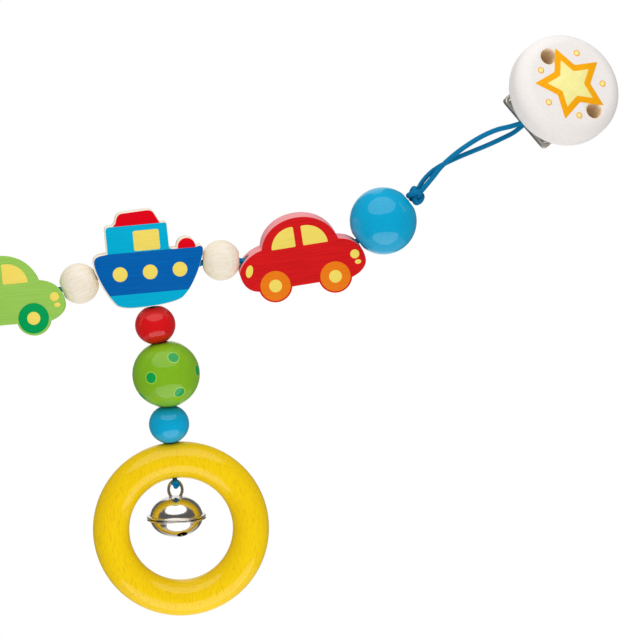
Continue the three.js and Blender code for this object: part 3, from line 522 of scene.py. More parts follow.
def strand_points(side):
    hand = SIDES[side]
    ball, car, bead = f"{side}_ball_spin", f"{CARS[side]}_car_roll", f"{side}_bead_spin"
    stations = [
        (ball, 0.4 * BALL_LENGTH), (ball, -0.42 * BALL_LENGTH),
        (car, 0.78 * CAR_FRONT), (car, 0), (car, -0.8 * CAR_FRONT),
        (bead, 0.3 * BEAD_LENGTH), (bead, -0.3 * BEAD_LENGTH),
    ]
    below_knot = knot_middle(side) - (KNOT_LENGTH / 2 + KNOT_CLEARANCE) * knot_axis(side)
    return [below_knot] + [joint_middle(name) + hand * reach * joint_axis(name) for name, reach in stations]


boat_axis = joint_axis("boat_roll")
chain_points = [
    *strand_points("right"),
    boat_place + 0.7 * BOAT_BOW * boat_axis,
    boat_place + 0.7 * BOAT_STERN * boat_axis,
    *reversed(strand_points("left")),
]
for name, depth in (("front", -CORD_SPREAD), ("back", CORD_SPREAD)):
    points = [at_depth(point, depth) for point in chain_points]
    strand, _, length = cord_piece(f"{name}_elastic_strand", points, CORD_DIAMETER, STRAND_STEP)
    settle(strand, "chain", "cord", f"chain_cord_{name}")
    print(name, "strand", round(length, 1), "mm")

# %% Pendant cord
tie_low, tie_high = (mm(corner).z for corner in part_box("pendant_tie"))
tie_points = [(0, 0, z) for z in (tie_high, (tie_low + tie_high) / 2, tie_low)]
tie, _, _ = cord_piece("keel_elastic", tie_points, CORD_DIAMETER, PENDANT_STEP)
settle(tie, "toy_boat", "cord", "pendant_tie")
red_bead, spotted_ball, blue_bead = (
    joint_middle(f"{name}_spin") for name in ("red_bead", "spotted_ball", "blue_bead")
)
pendant_points = [
    (0, 0, joint_middle("pendant_swing").z),
    (0, 0, red_bead.z + 0.2 * BEAD_LENGTH),
    (0.3 * spotted_ball.x, 0, red_bead.z - 0.4 * BEAD_LENGTH),
    (0.75 * spotted_ball.x, 0, spotted_ball.z + 0.3 * BALL_LENGTH),
    (spotted_ball.x, 0, spotted_ball.z),
    (0.8 * spotted_ball.x, 0, spotted_ball.z - 0.35 * BALL_LENGTH),
    (blue_bead.x, 0, blue_bead.z),
    (0, 0, ring_top + 0.8 * RING_SECTION),
    (0, 0, ring_top + 0.3),
]
pendant, _, length = cord_piece("pendant_elastic", pendant_points, CORD_DIAMETER, PENDANT_STEP)
settle(pendant, "pendant", "cord", "pendant_cord")
print("pendant cord", round(length, 1), "mm")

# %% [markdown]
# ## Knots
# The doubled cord ends in a fat overhand knot, which keeps the ball from sliding off. An overhand knot is a
# trefoil with its ends let out, so a tight trefoil of the same braided tube gives the crossing humps that
# show.

# %% Knots
TREFOIL_STEPS = 60
KNOT_CORD, KNOT_ACROSS, KNOT_ALONG = 2.0, 0.8, 1.5


def trefoil(place, across, along):
    points = []
    for turn in [*turns(TREFOIL_STEPS), 2 * math.pi]:
        local = Vector((
            -math.sin(3 * turn) * along,
            (math.sin(turn) + 2 * math.sin(2 * turn)) * across,
            (math.cos(turn) - 2 * math.cos(2 * turn)) * across,
        ))
        points.append(mm(place @ (local * MM)))
    return points


for side in SIDES:
    place = place_along(knot_middle(side) * MM, knot_axis(side))
    knot_points = trefoil(place, KNOT_ACROSS, KNOT_ALONG)
    knot, _, length = cord_piece(f"{side}_overhand_knot", knot_points, KNOT_CORD, LOOP_STEP)
    settle(knot, "chain", "cord", f"{side}_knot")
    print(side, "knot", round(length, 1), "mm of cord")

# %% [markdown]
# ## Turned beech, lacquered or waxed
# Balls and beads are turned from beech and drilled. Most are dipped in coloured lacquer: the film is thick
# and glossy and shows a hint of the grain. A clear coat over a coloured base gives the two layers, and a
# shallow ripple breaks up the mirror. The beads beside the boat are only waxed. Beech is pale, with fine
# darker streaks along the grain and hardly any gloss, so their noise is stretched along the grain.

# %% Lacquer and wax
GRAIN_WIDTH, GRAIN_LENGTH, RIPPLE = 0.5, 6.0, 3.0
STREAK_WIDTH, STREAK_LENGTH = 0.7, 7.0
LACQUER_SKIN = {"Roughness": 0.4, "Specular IOR Level": 0.05, "Coat Weight": 0.65, "Coat Roughness": 0.04}
LACQUER_RELIEF = (0.12, 0.1)


def lacquer(name, deep_colour, colour):
    return two_tone(
        name, (deep_colour, colour), (GRAIN_WIDTH, GRAIN_LENGTH, GRAIN_WIDTH), {"Detail": 2.0}, LACQUER_SKIN,
        (0.3, 0.7), LACQUER_RELIEF, RIPPLE,
    )


blue_lacquer = lacquer("sky blue lacquer", "#009FCC", "#00A9D6")
red_lacquer = lacquer("red lacquer", "#CE0B12", "#E00F14")
natural = two_tone(
    "waxed natural beech", ("#F3EADA", "#EADCC4"), (STREAK_LENGTH, STREAK_WIDTH, STREAK_WIDTH),
    {"Detail": 4.0}, {"Roughness": 0.55, "Specular IOR Level": 0.25}, (0.35, 0.7), (0.1, 0.05),
)

# %% [markdown]
# ## The spotted ball
# The green ball in the pendant carries dark green spots with a thin pale rim, where the dab of paint dried.
# Each spot is a small cap of the sphere: a point belongs to it when its direction is close to the spot's
# own. The largest dot product over all the spots gives one smooth number for both the spot and its rim.

# %% Spots
SPOT_RADIUS, SPOT_RIM = 0.155, 0.025
SEEN_SPOTS = [(0.256, 0.506), (-0.406, -0.10), (0.432, -0.534), (0.943, 0.114), (-0.70, -0.66)]
HIDDEN_SPOTS = [
    (-0.85, 0.1, 0.5), (0.3, 0.9, 0.3), (-0.35, 0.85, -0.4), (0.7, 0.5, -0.5), (-0.75, 0.55, -0.2),
    (0.1, 0.6, 0.79), (0.25, 0.75, -0.62),
]


def spot_direction(right, up):
    towards = math.sqrt(1 - right ** 2 - up ** 2)
    return right * picture_right + up * picture_up + towards * backwards


to_ball = place_along((0, 0, 0), (0, 0, 1)).to_3x3().transposed()
spots = [to_ball @ spot_direction(*seen_spot) for seen_spot in SEEN_SPOTS]
spots += [to_ball @ Vector(hidden).normalized() for hidden in HIDDEN_SPOTS]
print("spots", len(spots))

# %% Spotted lacquer
spotted, tree = start_material("green lacquer with spots")
where = add_node(tree, "TexCoord").outputs["Object"]
direction = add_node(tree, "VectorMath", {0: where}, operation="NORMALIZE").outputs[0]
nearest = None
for spot in spots:
    near = add_node(tree, "VectorMath", {0: direction, 1: spot}, operation="DOT_PRODUCT").outputs["Value"]
    if nearest is None:
        nearest = near
    else:
        nearest = add_node(tree, "Math", {0: nearest, 1: near}, operation="MAXIMUM").outputs[0]
clouds = add_node(tree, "TexNoise", {"Vector": where, "Scale": 1 / (RIPPLE * MM), "Detail": 3.0})
cloud = clouds.outputs["Fac"]
paint = add_node(tree, "Mix", {
    COLOUR_FACTOR: cloud, COLOUR_A: linear("#76AE16"), COLOUR_B: linear("#86BA22"),
}, data_type="RGBA")
for colour, outer, inner in (("#A4CC48", 1.4, 1), ("#00A04B", 0.3, 0)):
    share = add_node(tree, "MapRange", {
        "Value": nearest, "From Min": math.cos(SPOT_RADIUS + outer * SPOT_RIM),
        "From Max": math.cos(SPOT_RADIUS + inner * SPOT_RIM),
    })
    paint = add_node(tree, "Mix", {
        COLOUR_FACTOR: share.outputs[0], COLOUR_A: paint.outputs[COLOUR_OUT], COLOUR_B: linear(colour),
    }, data_type="RGBA")
strength, depth = LACQUER_RELIEF
uneven = add_node(tree, "Bump", {"Height": cloud, "Strength": strength, "Distance": depth * MM})
shader = add_node(tree, "BsdfPrincipled", {
    **LACQUER_SKIN, "Base Color": paint.outputs[COLOUR_OUT], "Coat Roughness": 0.05,
    "Normal": uneven.outputs["Normal"],
})
add_node(tree, "OutputMaterial", {"Surface": shader.outputs[0]})
print("nodes in the spotted lacquer", len(tree.nodes))

# %% [markdown]
# ## Balls and beads
# Each is a lathe profile: a sphere whose two ends are turned flat for the bore, with the edges rounded over
# by sanding and lacquer. Turning gives the true form at once, with an even mesh.

# %% Turned pieces
EDGE_ROUND = 0.4
BEAD = (BEAD_DIAMETER, BEAD_LENGTH, 5.4)
BALL = (BALL_DIAMETER, BALL_LENGTH, 6.4)
TURNED_SEGMENTS, TURNED_STEPS = 72, 24


def bead_profile(diameter, length, end_flat, bore):
    flat = math.asin(end_flat / diameter)
    reach = length / 2 / math.cos(flat)
    half = [(length / 2 - 2 * EDGE_ROUND, bore / 2)]
    for turn in quarter(4):
        edge = length / 2 - EDGE_ROUND * (1 - math.sin(turn))
        half.append((edge, bore / 2 + EDGE_ROUND * (1 - math.cos(turn))))
    for i in range(TURNED_STEPS + 1):
        turn = flat + (math.pi / 2 - flat) * i / TURNED_STEPS
        half.append((reach * math.cos(turn), diameter / 2 * math.sin(turn)))
    return half + [(-along, radius) for along, radius in reversed(half[:-1])]


def turned_piece(name, node, joint, size, bore, material, slot):
    place = place_along(joints[joint]["pos_m"], joint_axis(joint))
    piece = make_piece(name, *lathe(bead_profile(*size, bore), TURNED_SEGMENTS), [material], place)
    print(name, "faces", len(piece.data.polygons))
    return settle(piece, joints[joint]["child"], slot, node)


for side in SIDES:
    turned_piece(f"{side}_lacquered_ball", f"{side}_blue_ball", f"{side}_ball_spin", BALL, CHAIN_BORE,
                 blue_lacquer, "blue_lacquer")
    turned_piece(f"{side}_waxed_bead", f"{side}_natural_bead", f"{side}_bead_spin", BEAD, CHAIN_BORE,
                 natural, "natural_wood")
for name, node, size, material, slot in (
    ("red_lacquered_bead", "red_bead", BEAD, red_lacquer, "red_lacquer"),
    ("green_spotted_ball", "spotted_ball", BALL, spotted, "green_lacquer"),
    ("blue_lacquered_bead", "blue_bead", BEAD, blue_lacquer, "blue_lacquer"),
):
    turned_piece(name, node, f"{node}_spin", size, PENDANT_BORE, material, slot)

# %% [markdown]
# ## The grasping ring
# The ring is turned from one board of beech and stained clear yellow, so the grain runs straight through it
# instead of round it, and the little dark rays of beech show as short upright flecks. A torus is the true
# form; its bore is drilled through the top.

# %% Yellow stain
FLECK_WIDTH, FLECK_LENGTH, BOARD_CLOUD = 0.45, 2.6, 14.0
stain, tree = start_material("yellow stained beech")
where = add_node(tree, "TexCoord").outputs["Object"]
fleck_space = add_node(tree, "Mapping", {
    "Vector": where, "Scale": [1 / (size * MM) for size in (FLECK_WIDTH, FLECK_WIDTH, FLECK_LENGTH)],
})
beech_rays = add_node(tree, "TexNoise", {"Vector": fleck_space.outputs[0], "Scale": 1.0, "Detail": 3.0})
flecks = beech_rays.outputs["Fac"]
fleck_share = add_node(tree, "MapRange", {"Value": flecks, "From Min": 0.5, "From Max": 0.72, "To Max": 0.6})
board = add_node(tree, "TexNoise", {"Vector": where, "Scale": 1 / (BOARD_CLOUD * MM), "Detail": 2.0})
board_tone = add_node(tree, "Mix", {
    COLOUR_FACTOR: board.outputs["Fac"], COLOUR_A: linear("#FAD400"), COLOUR_B: linear("#F4C800"),
}, data_type="RGBA")
stained = add_node(tree, "Mix", {
    COLOUR_FACTOR: fleck_share.outputs[0], COLOUR_A: board_tone.outputs[COLOUR_OUT],
    COLOUR_B: linear("#DDA900"),
}, data_type="RGBA")
pores = add_node(tree, "Bump", {"Height": flecks, "Strength": 0.15, "Distance": 0.06 * MM})
shader = add_node(tree, "BsdfPrincipled", {
    "Base Color": stained.outputs[COLOUR_OUT], "Roughness": 0.45, "Specular IOR Level": 0.05,
    "Coat Weight": 0.6, "Coat Roughness": 0.09, "Normal": pores.outputs["Normal"],
})
add_node(tree, "OutputMaterial", {"Surface": shader.outputs[0]})
print("nodes in the stain", len(tree.nodes))

# %% Ring
RING_STEPS, SECTION_STEPS = 128, 40
centreline = (RING_DIAMETER - RING_SECTION) / 2
rings = []
for turn in turns(RING_STEPS):
    section = []
    for around in turns(SECTION_STEPS):
        reach = centreline + RING_SECTION / 2 * math.cos(around)
        depth = -RING_SECTION / 2 * math.sin(around)
        section.append((reach * math.sin(turn), depth, reach * math.cos(turn)))
    rings.append(section)
ring_frame = Matrix.Translation(ring_place * MM)
ring = make_piece("stained_grasping_ring", *loft(rings, closed=True), [stain], ring_frame)
bore_frame = place_along((ring_place + Vector((0, 0, centreline))) * MM, (0, 0, 1))
bore = [(-RING_SECTION, PENDANT_BORE / 2), (RING_SECTION, PENDANT_BORE / 2)]
cut_away(ring, [drill("ring_bore", bore, natural, bore_frame)])
settle(ring, "ring", "yellow_stain", "grasping_ring")
print("ring faces", len(ring.data.polygons))

# %% [markdown]
# ## Nickel plate
# The bell and the clips are sheet steel with a nickel plating. Nickel is a slightly warm grey mirror. On the
# bell the plating is bright; on the clips, which rub against fabric, it has gone a little dull. Fine rubbing
# marks change the roughness and tilt the surface a little, which keeps the mirror from looking like chrome
# in a computer picture.

# %% Nickel
RUB_LENGTH, RUB_WIDTH, RUB_TURN = 5.0, 0.25, (0.3, 0.5, 0.2)


def nickel_plate(name, colour, dull_colour, roughness, rubbing):
    material, tree = start_material(name)
    rub_space = add_node(tree, "Mapping", {
        "Vector": add_node(tree, "TexCoord").outputs["Object"], "Rotation": RUB_TURN,
        "Scale": [1 / (size * MM) for size in (RUB_LENGTH, RUB_WIDTH, RUB_WIDTH)],
    })
    marks = add_node(tree, "TexNoise", {"Vector": rub_space.outputs[0], "Scale": 1.0, "Detail": 3.0})
    rubs = marks.outputs["Fac"]
    haze = add_node(tree, "MapRange", {
        "Value": rubs, "From Min": 0.3, "From Max": 0.75,
        "To Min": 0.75 * roughness, "To Max": 1.5 * roughness,
    })
    tone = add_node(tree, "Mix", {
        COLOUR_FACTOR: rubs, COLOUR_A: linear(colour), COLOUR_B: linear(dull_colour),
    }, data_type="RGBA")
    tilt = add_node(tree, "Bump", {"Height": rubs, "Strength": rubbing, "Distance": 0.02 * MM})
    shader = add_node(tree, "BsdfPrincipled", {
        "Base Color": tone.outputs[COLOUR_OUT], "Metallic": 1.0, "Roughness": haze.outputs[0],
        "Normal": tilt.outputs["Normal"],
    })
    add_node(tree, "OutputMaterial", {"Surface": shader.outputs[0]})
    return material


bright_nickel = nickel_plate("bright nickel plate", "#E6E2DA", "#D8D3CA", 0.14, 0.1)
worn_nickel = nickel_plate("rubbed nickel plate", "#C9C6C0", "#B4B0A9", 0.2, 0.3)

# %% [markdown]
# ## The bell
# A jingle bell is two pressed domes, joined at a rolled rim. The domes are turned here as half ellipses with
# the real thickness of the sheet, because the slot and its round ends show the sheet's edge. The slot is cut
# as the press cuts it: one straight saw line and a round hole at each end.

# %% Bell shells
BELL_DIAMETER, BELL_CROWN, BELL_BOWL = 17.6, 7.2, 6.7
BELL_FLANGE, BELL_SHEET, SEAM_GAP = 19.8, 0.6, 0.25
BELL_LEAN = math.radians(5)
BELL_WIRE, LOOP_WIDTH, LOOP_HEIGHT, BELL_GAP = 1.0, 5.5, 5.5, 0.4
DOME_STEPS, DOME_SEGMENTS, RIM_STEPS, DOME_SMOOTH_ANGLE = 28, 96, 6, 50
bell_up = Vector((math.sin(BELL_LEAN), 0, math.cos(BELL_LEAN)))
bell_right = Vector((math.cos(BELL_LEAN), 0, -math.sin(BELL_LEAN)))
bell_back = Vector((0, 1, 0))
wire_top = Vector((0, 0, ring_top - BELL_GAP - BELL_WIRE / 2))
bell_middle = wire_top - (BELL_CROWN + LOOP_HEIGHT - BELL_WIRE / 2) * bell_up


def shell_profile(height):
    """A dome from its pole out to the rolled rim and back inside to the pole."""
    seam, radius = SEAM_GAP / 2, BELL_DIAMETER / 2
    outside, inside = [(height, 0)], [(height - BELL_SHEET, 0)]
    for turn in quarter(DOME_STEPS)[-2::-1]:
        rise, reach = math.sin(turn), math.cos(turn)
        if height * rise > seam + 1.5 * BELL_SHEET:
            outside.append((height * rise, radius * reach))
        if (height - BELL_SHEET) * rise > seam:
            inside.append(((height - BELL_SHEET) * rise, (radius - BELL_SHEET) * reach))
    root = [(seam + 1.12 * BELL_SHEET, radius + 0.06), (seam + BELL_SHEET, radius + 0.35)]
    rim = []
    for i in range(RIM_STEPS + 1):
        turn = math.pi / 2 - math.pi * i / RIM_STEPS
        edge = BELL_FLANGE / 2 - BELL_SHEET / 2 * (1 - math.cos(turn))
        rim.append((seam + BELL_SHEET / 2 * (1 + math.sin(turn)), edge))
    return outside + root + rim + [(seam, radius - BELL_SHEET)] + inside[::-1]


def bell_shell(name, height, axis, node):
    place = place_along(bell_middle * MM, axis)
    skin = lathe(shell_profile(height), DOME_SEGMENTS)
    shell = make_piece(name, *skin, [bright_nickel], place, DOME_SMOOTH_ANGLE, weld=True)
    print(name, "faces", len(shell.data.polygons))
    return settle(shell, "bell", "nickel", node)


bell_shell("bell_upper_dome", BELL_CROWN, bell_up, "bell_crown")
lower_dome = bell_shell("bell_lower_dome", BELL_BOWL, -bell_up, "bell_bowl")

# %% Slot of the bell
SLOT_WIDTH, SLOT_REACH, SLOT_HOLE = 1.0, 5.6, 3.6
SLOT_HOLE_ANGLE, SLOT_TURN = math.radians(47), math.radians(17)
slot_along = math.sin(SLOT_TURN) * bell_right - math.cos(SLOT_TURN) * bell_back
slot_across = bell_up.cross(slot_along)
saw_rings = [
    [bell_middle + x * SLOT_WIDTH / 2 * slot_across + y * SLOT_REACH * slot_along + z * BELL_BOWL * bell_up
     for x, y in ((-1, -1), (1, -1), (1, 1), (-1, 1))]
    for z in (-1.5, -0.5)
]
cutters = [make_piece("slot_saw", *loft(saw_rings), [bright_nickel], AT_ORIGIN)]
for hand in (1, -1):
    towards = hand * math.sin(SLOT_HOLE_ANGLE) * slot_along - math.cos(SLOT_HOLE_ANGLE) * bell_up
    hole = [(0.4 * BELL_BOWL, SLOT_HOLE / 2), (2 * BELL_BOWL, SLOT_HOLE / 2)]
    aim = Matrix.Translation(bell_middle * MM) @ towards.to_track_quat("X", "Z").to_matrix().to_4x4()
    cutters.append(drill("slot_end", hole, bright_nickel, aim))
cut_away(lower_dome, cutters)
print("lower dome with its slot, faces", len(lower_dome.data.polygons))

# %% Wire loop and pellet of the bell
EYE_TURN, EYE_STEP, WIRE_STEP = 150, 10, 0.25
eye_wide = (LOOP_WIDTH - BELL_WIRE) / 2
eye_top = BELL_CROWN + LOOP_HEIGHT - BELL_WIRE / 2
eye_high = (eye_top - BELL_CROWN + BELL_SHEET) / (1 - math.cos(math.radians(EYE_TURN)))
wire_points = []
for turn in map(math.radians, range(-EYE_TURN, EYE_TURN + 1, EYE_STEP)):
    height = eye_top - eye_high * (1 - math.cos(turn))
    wire_points.append(bell_middle + eye_wide * math.sin(turn) * bell_right + height * bell_up)
wire, _, length = cord_piece(
    "bell_wire_eye", wire_points, BELL_WIRE, WIRE_STEP, WIRE_SIDES, 0, bright_nickel,
)
settle(wire, "bell", "nickel", "bell_wire_loop")
pellet = cad_nodes["bell_pellet"]
pellet.data.materials.clear()
pellet.data.materials.append(worn_nickel)
print("wire", round(length, 1), "mm")

# %% [markdown]
# ## The bell's tie
# The end of the pendant cord comes out of the ring's bore, hooks through the bell's eye and is knotted in
# front of it. The same braided tube is used, with a tighter knot.

# %% Tie of the bell
HOOK_DEPTH, TIE_KNOT_DEPTH, TIE_KNOT_DROP = 1.65, -2.25, 1.5
TIE_KNOT_CORD, TIE_KNOT_ACROSS, TIE_KNOT_ALONG = 1.2, 0.34, 0.65
HOOK_STEP, TIE_KNOT_STEP = 0.25, 0.2
tie_knot_place = Vector((0, TIE_KNOT_DEPTH, ring_top - TIE_KNOT_DROP))
hook_points = [
    (0, 0.8 * HOOK_DEPTH, ring_top - 0.6),
    (0, HOOK_DEPTH, wire_top.z),
    (0, 0.7 * HOOK_DEPTH, wire_top.z - 0.8 * HOOK_DEPTH),
    (0, 0, wire_top.z - 1.15 * HOOK_DEPTH),
    (0, 0.6 * TIE_KNOT_DEPTH, wire_top.z - HOOK_DEPTH),
    tie_knot_place,
]
hook, _, length = cord_piece("bell_tie_hook", hook_points, CORD_DIAMETER, HOOK_STEP)
settle(hook, "bell_tie", "cord", "bell_knot")
knot_points = trefoil(place_along(tie_knot_place * MM, (0.8, 0, 0.6)), TIE_KNOT_ACROSS, TIE_KNOT_ALONG)
tie_knot, _, _ = cord_piece("bell_tie_knot", knot_points, TIE_KNOT_CORD, TIE_KNOT_STEP)
settle(tie_knot, "bell_tie", "cord", "bell_knot")
print("bell tie", round(length, 1), "mm")

# %% [markdown]
# ## Paint on sawn figures
# The cars and the boat are sawn from a board, and their two faces are screen printed. Print ink is opaque
# and nearly matt, and the grain of the board still shows through it as fine streaks along the board. The
# cars' sawn edges carry a thinner stain than their faces and are painted lighter still: the pink of the red
# car's edge and the pale green of the green car's edge are partly that stain and partly painted light from
# the overhead lamp. The boat's edge is left in the pale wood.

# %% Paint
BOARD_STREAK_LENGTH, BOARD_STREAK_WIDTH = 9.0, 0.35


def board_paint(name, colour, streak_colour, roughness=0.5, pore_depth=0.05):
    return two_tone(
        name, (colour, streak_colour), (BOARD_STREAK_LENGTH, BOARD_STREAK_WIDTH, BOARD_STREAK_WIDTH),
        {"Detail": 3.0}, {"Roughness": roughness, "Specular IOR Level": 0.05},
        (0.35, 0.7), (0.3, pore_depth),
    )


red_ink = board_paint("red ink on beech", "#D81A1C", "#C41418")
# The two car edge colours are lighter than the faces: partly a thin stain, partly painted light from the
# overhead lamp.
red_edge_stain_and_painted_light = board_paint("thin red stain and painted light on sawn beech", "#F2A3A6", "#E98C92")
green_ink = board_paint("light green ink on beech", "#99C95A", "#8FBF4F")
green_edge_stain_and_painted_light = board_paint("thin green stain and painted light on sawn beech", "#A9D070", "#98C45C")
bare_edge = board_paint("bare sawn edge", "#F4ECDD", "#E8DAC2")
yellow_ink = board_paint("pale yellow ink", "#F1DB68", "#EBD25A")
orange_ink = board_paint("orange ink", "#EC7D18", "#E27412")
tyre_ink = board_paint("dark green ink", "#009F55", "#00954C")
dark_blue_ink = board_paint("dark blue ink", "#0062B0", "#0058A4")
turquoise_ink = board_paint("turquoise ink", "#00AED3", "#00A4CB")
scarlet_ink = board_paint("scarlet ink", "#E20018", "#D40014")

# %% Outline tools
CURVE_STEPS, ARC_STEPS, OVAL_STEPS = 12, 28, 40
SHARP_CORNER = math.radians(35)
SHORTEST_MITRE = 0.6


def follow(path, *controls):
    """Adds a straight line to one point, or a curve by two or three control points."""
    steps = 1 if len(controls) == 1 else CURVE_STEPS
    start = path[-1]
    for i in range(1, steps + 1):
        row = [start, *(Vector(control) for control in controls)]
        while len(row) > 1:
            row = [a.lerp(b, i / steps) for a, b in zip(row, row[1:])]
        path.append(row[0])


def follow_arc(path, centre, radius, start, end):
    for i in range(1, ARC_STEPS + 1):
        turn = start + (end - start) * i / ARC_STEPS
        path.append(Vector((centre[0] + radius * math.cos(turn), centre[1] + radius * math.sin(turn))))


def oval(centre, width, height, lean=0.0, steps=OVAL_STEPS):
    points = []
    for turn in turns(steps):
        across, up = width / 2 * math.cos(turn), height / 2 * math.sin(turn)
        points.append(Vector((
            centre[0] + across * math.cos(lean) - up * math.sin(lean),
            centre[1] + across * math.sin(lean) + up * math.cos(lean),
        )))
    return points


def inset(outline, distance):
    """The outline moved inwards. Outlines run anticlockwise as seen from the front."""
    moved = []
    for i, point in enumerate(outline):
        before = (point - outline[i - 1]).normalized()
        after = (outline[(i + 1) % len(outline)] - point).normalized()
        inward = Vector((-before.y - after.y, before.x + after.x))
        moved.append(point + distance * inward / max(SHORTEST_MITRE, inward.length_squared / 2))
    return moved


def rounded(outline, radius):
    """The outline with its sharp corners rounded."""
    soft = []
    for i, point in enumerate(outline):
        before, after = outline[i - 1] - point, outline[(i + 1) % len(outline)] - point
        if math.pi - before.angle(after) < SHARP_CORNER:
            soft.append(point)
            continue
        start, finish = point + radius * before.normalized(), point + radius * after.normalized()
        for share in (0, 0.25, 0.5, 0.75, 1):
            soft.append(start.lerp(point, share).lerp(point.lerp(finish, share), share))
    return soft


# %% Board and film meshes
FIGURE_THICKNESS, FIGURE_EDGE, EDGE_STEPS = 11.0, 0.5, 4
FILM_SINK, FILM_SMOOTH_ANGLE = 0.2, 30


def board_mesh(outline):
    """A sawn board with rounded edges: its rings from the back to the front, and then its two faces."""
    rings = []
    for turn in quarter(EDGE_STEPS):
        depth = FIGURE_THICKNESS / 2 - FIGURE_EDGE * (1 - math.cos(turn))
        rings.append((FIGURE_EDGE * (1 - math.sin(turn)), depth))
    rings += [(distance, -depth) for distance, depth in reversed(rings)]
    return loft([
        [(point.x, depth, point.y) for point in inset(outline, distance)] for distance, depth in rings
    ])


def film_mesh(outlines, depth, lift, sides):
    """Thin films of ink on a face at the given depth, on the front (-1), the back (1) or both."""
    corners, faces = [], []
    levels = [(0, depth - FILM_SINK), (0, depth + lift / 2), (lift, depth + lift)]
    for outline in outlines:
        for side in sides:
            rings = [
                [(point.x, side * level, point.y) for point in inset(outline, distance)]
                for distance, level in levels
            ]
            film_corners, film_faces = loft(rings if side < 0 else rings[::-1])
            faces += [tuple(len(corners) + corner for corner in face) for face in film_faces]
            corners += film_corners
    return corners, faces


def figure_place(position, tilt, lean):
    turn = Matrix.Rotation(-math.radians(tilt), 4, "Y") @ Matrix.Rotation(math.radians(lean), 4, "X")
    return Matrix.Translation(position * MM) @ turn


def ink_film(name, outlines, height, lift, material, place, body, slot):
    shifted = [[point - Vector((0, height)) for point in outline] for outline in outlines]
    film = film_mesh(shifted, FIGURE_THICKNESS / 2, lift, (-1, 1))
    return settle(make_piece(name, *film, [material], place, FILM_SMOOTH_ANGLE), body, slot)


def sawn_board(name, outline, height, edge, face, place, bores, body, slot, node):
    skin = board_mesh([point - Vector((0, height)) for point in outline])
    board = make_piece(name, *skin, [edge, face], place)
    for polygon in board.data.polygons:
        ring = polygon.index // len(outline)
        polygon.material_index = 0 if EDGE_STEPS - 1 <= ring <= EDGE_STEPS + 1 else 1
    cut_away(board, [drill("figure_bore", sections, natural, place @ turn) for sections, turn in bores])
    print(name, "faces", len(board.data.polygons))
    return settle(board, body, slot, node)


# %% [markdown]
# ## The cars
# Both cars are the same shape, sawn side on with the wheels as part of the outline, and they differ only in
# paint. The outline is built from the same curves as the solid. Windows, lights, tyres and hubs are printed
# over the ground colour on both faces, so they are films of ink that stand a little proud.

# %% Car outline
AXLE, WHEEL, SILL, BELT, ROOF, CABIN = 10.0, 5.6, -1.2, 12.4, 21.5, 12.8
CAR_REAR, NOSE, TAIL, CAR_BORE_HEIGHT = 21.0, 4.0, 6.0, 8.5
dip = math.asin(-SILL / WHEEL)
wheel_arch = WHEEL * math.cos(dip)
car = [Vector((-AXLE + wheel_arch, SILL))]
follow(car, (AXLE - wheel_arch, SILL))
follow_arc(car, (AXLE, 0), WHEEL, math.pi + dip, 2 * math.pi - dip)
follow(car, (0.88 * CAR_FRONT, SILL + 0.8), (CAR_FRONT, 0.4 * NOSE), (CAR_FRONT, NOSE))
follow(car, (CAR_FRONT, NOSE + 3.8), (0.89 * CAR_FRONT, BELT - 0.8), (CABIN, BELT))
follow(car, (0.88 * CABIN, 0.83 * ROOF), (CABIN / 2, ROOF), (0, ROOF))
follow(car, (-CABIN / 2, ROOF), (-0.91 * CABIN, 0.83 * ROOF), (-CABIN, BELT))
follow(car, (-0.78 * CAR_REAR, BELT - 0.6), (-0.96 * CAR_REAR, BELT - 3.4), (-CAR_REAR, TAIL))
follow(car, (-CAR_REAR, 0.33 * TAIL), (-0.9 * CAR_REAR, SILL + 0.4), (-AXLE - wheel_arch, SILL))
follow_arc(car, (-AXLE, 0), WHEEL, math.pi + dip, 2 * math.pi - dip)
car.pop()
print("car outline", len(car), "points")

# %% Printed details of the cars
WINDOW_SILL, PANE_ROUND = 11.9, 0.5
TYRE, HUB, TYRE_STEPS = 10.0, 4.3, 64
rear_window = [Vector((-9.6, WINDOW_SILL)), Vector((-1.5, WINDOW_SILL)), Vector((-1.5, 18.6))]
follow(rear_window, (-5.2, 18.9), (-9.0, 16.5), (-9.6, WINDOW_SILL))
front_window = [Vector((1.0, WINDOW_SILL)), Vector((9.3, WINDOW_SILL))]
follow(front_window, (8.8, 16.6), (5.0, 18.9), (1.0, 18.5))
panes = [rounded(rear_window[:-1], PANE_ROUND), rounded(front_window, PANE_ROUND)]
panes.append(oval((-17.8, 6.1), 2.3, 4.2, -math.radians(20)))
panes += [oval((17.4, 6.4), 3.0, 3.0), oval((18.1, 3.7), 2.1, 1.5)]
tyres = [oval((x, 0), TYRE, TYRE, 0, TYRE_STEPS) for x in (-AXLE, AXLE)]
hubs = [oval((x, 0), HUB, HUB) for x in (-AXLE, AXLE)]
print("windows and lights", len(panes))

# %% Cars
INK_LIFT, OVERPRINT_LIFT = 0.06, 0.11
ALONG = Matrix.Identity(4)
FIGURE_BORE = [(-2 * CAR_FRONT, CHAIN_BORE / 2), (2 * CAR_FRONT, CHAIN_BORE / 2)]
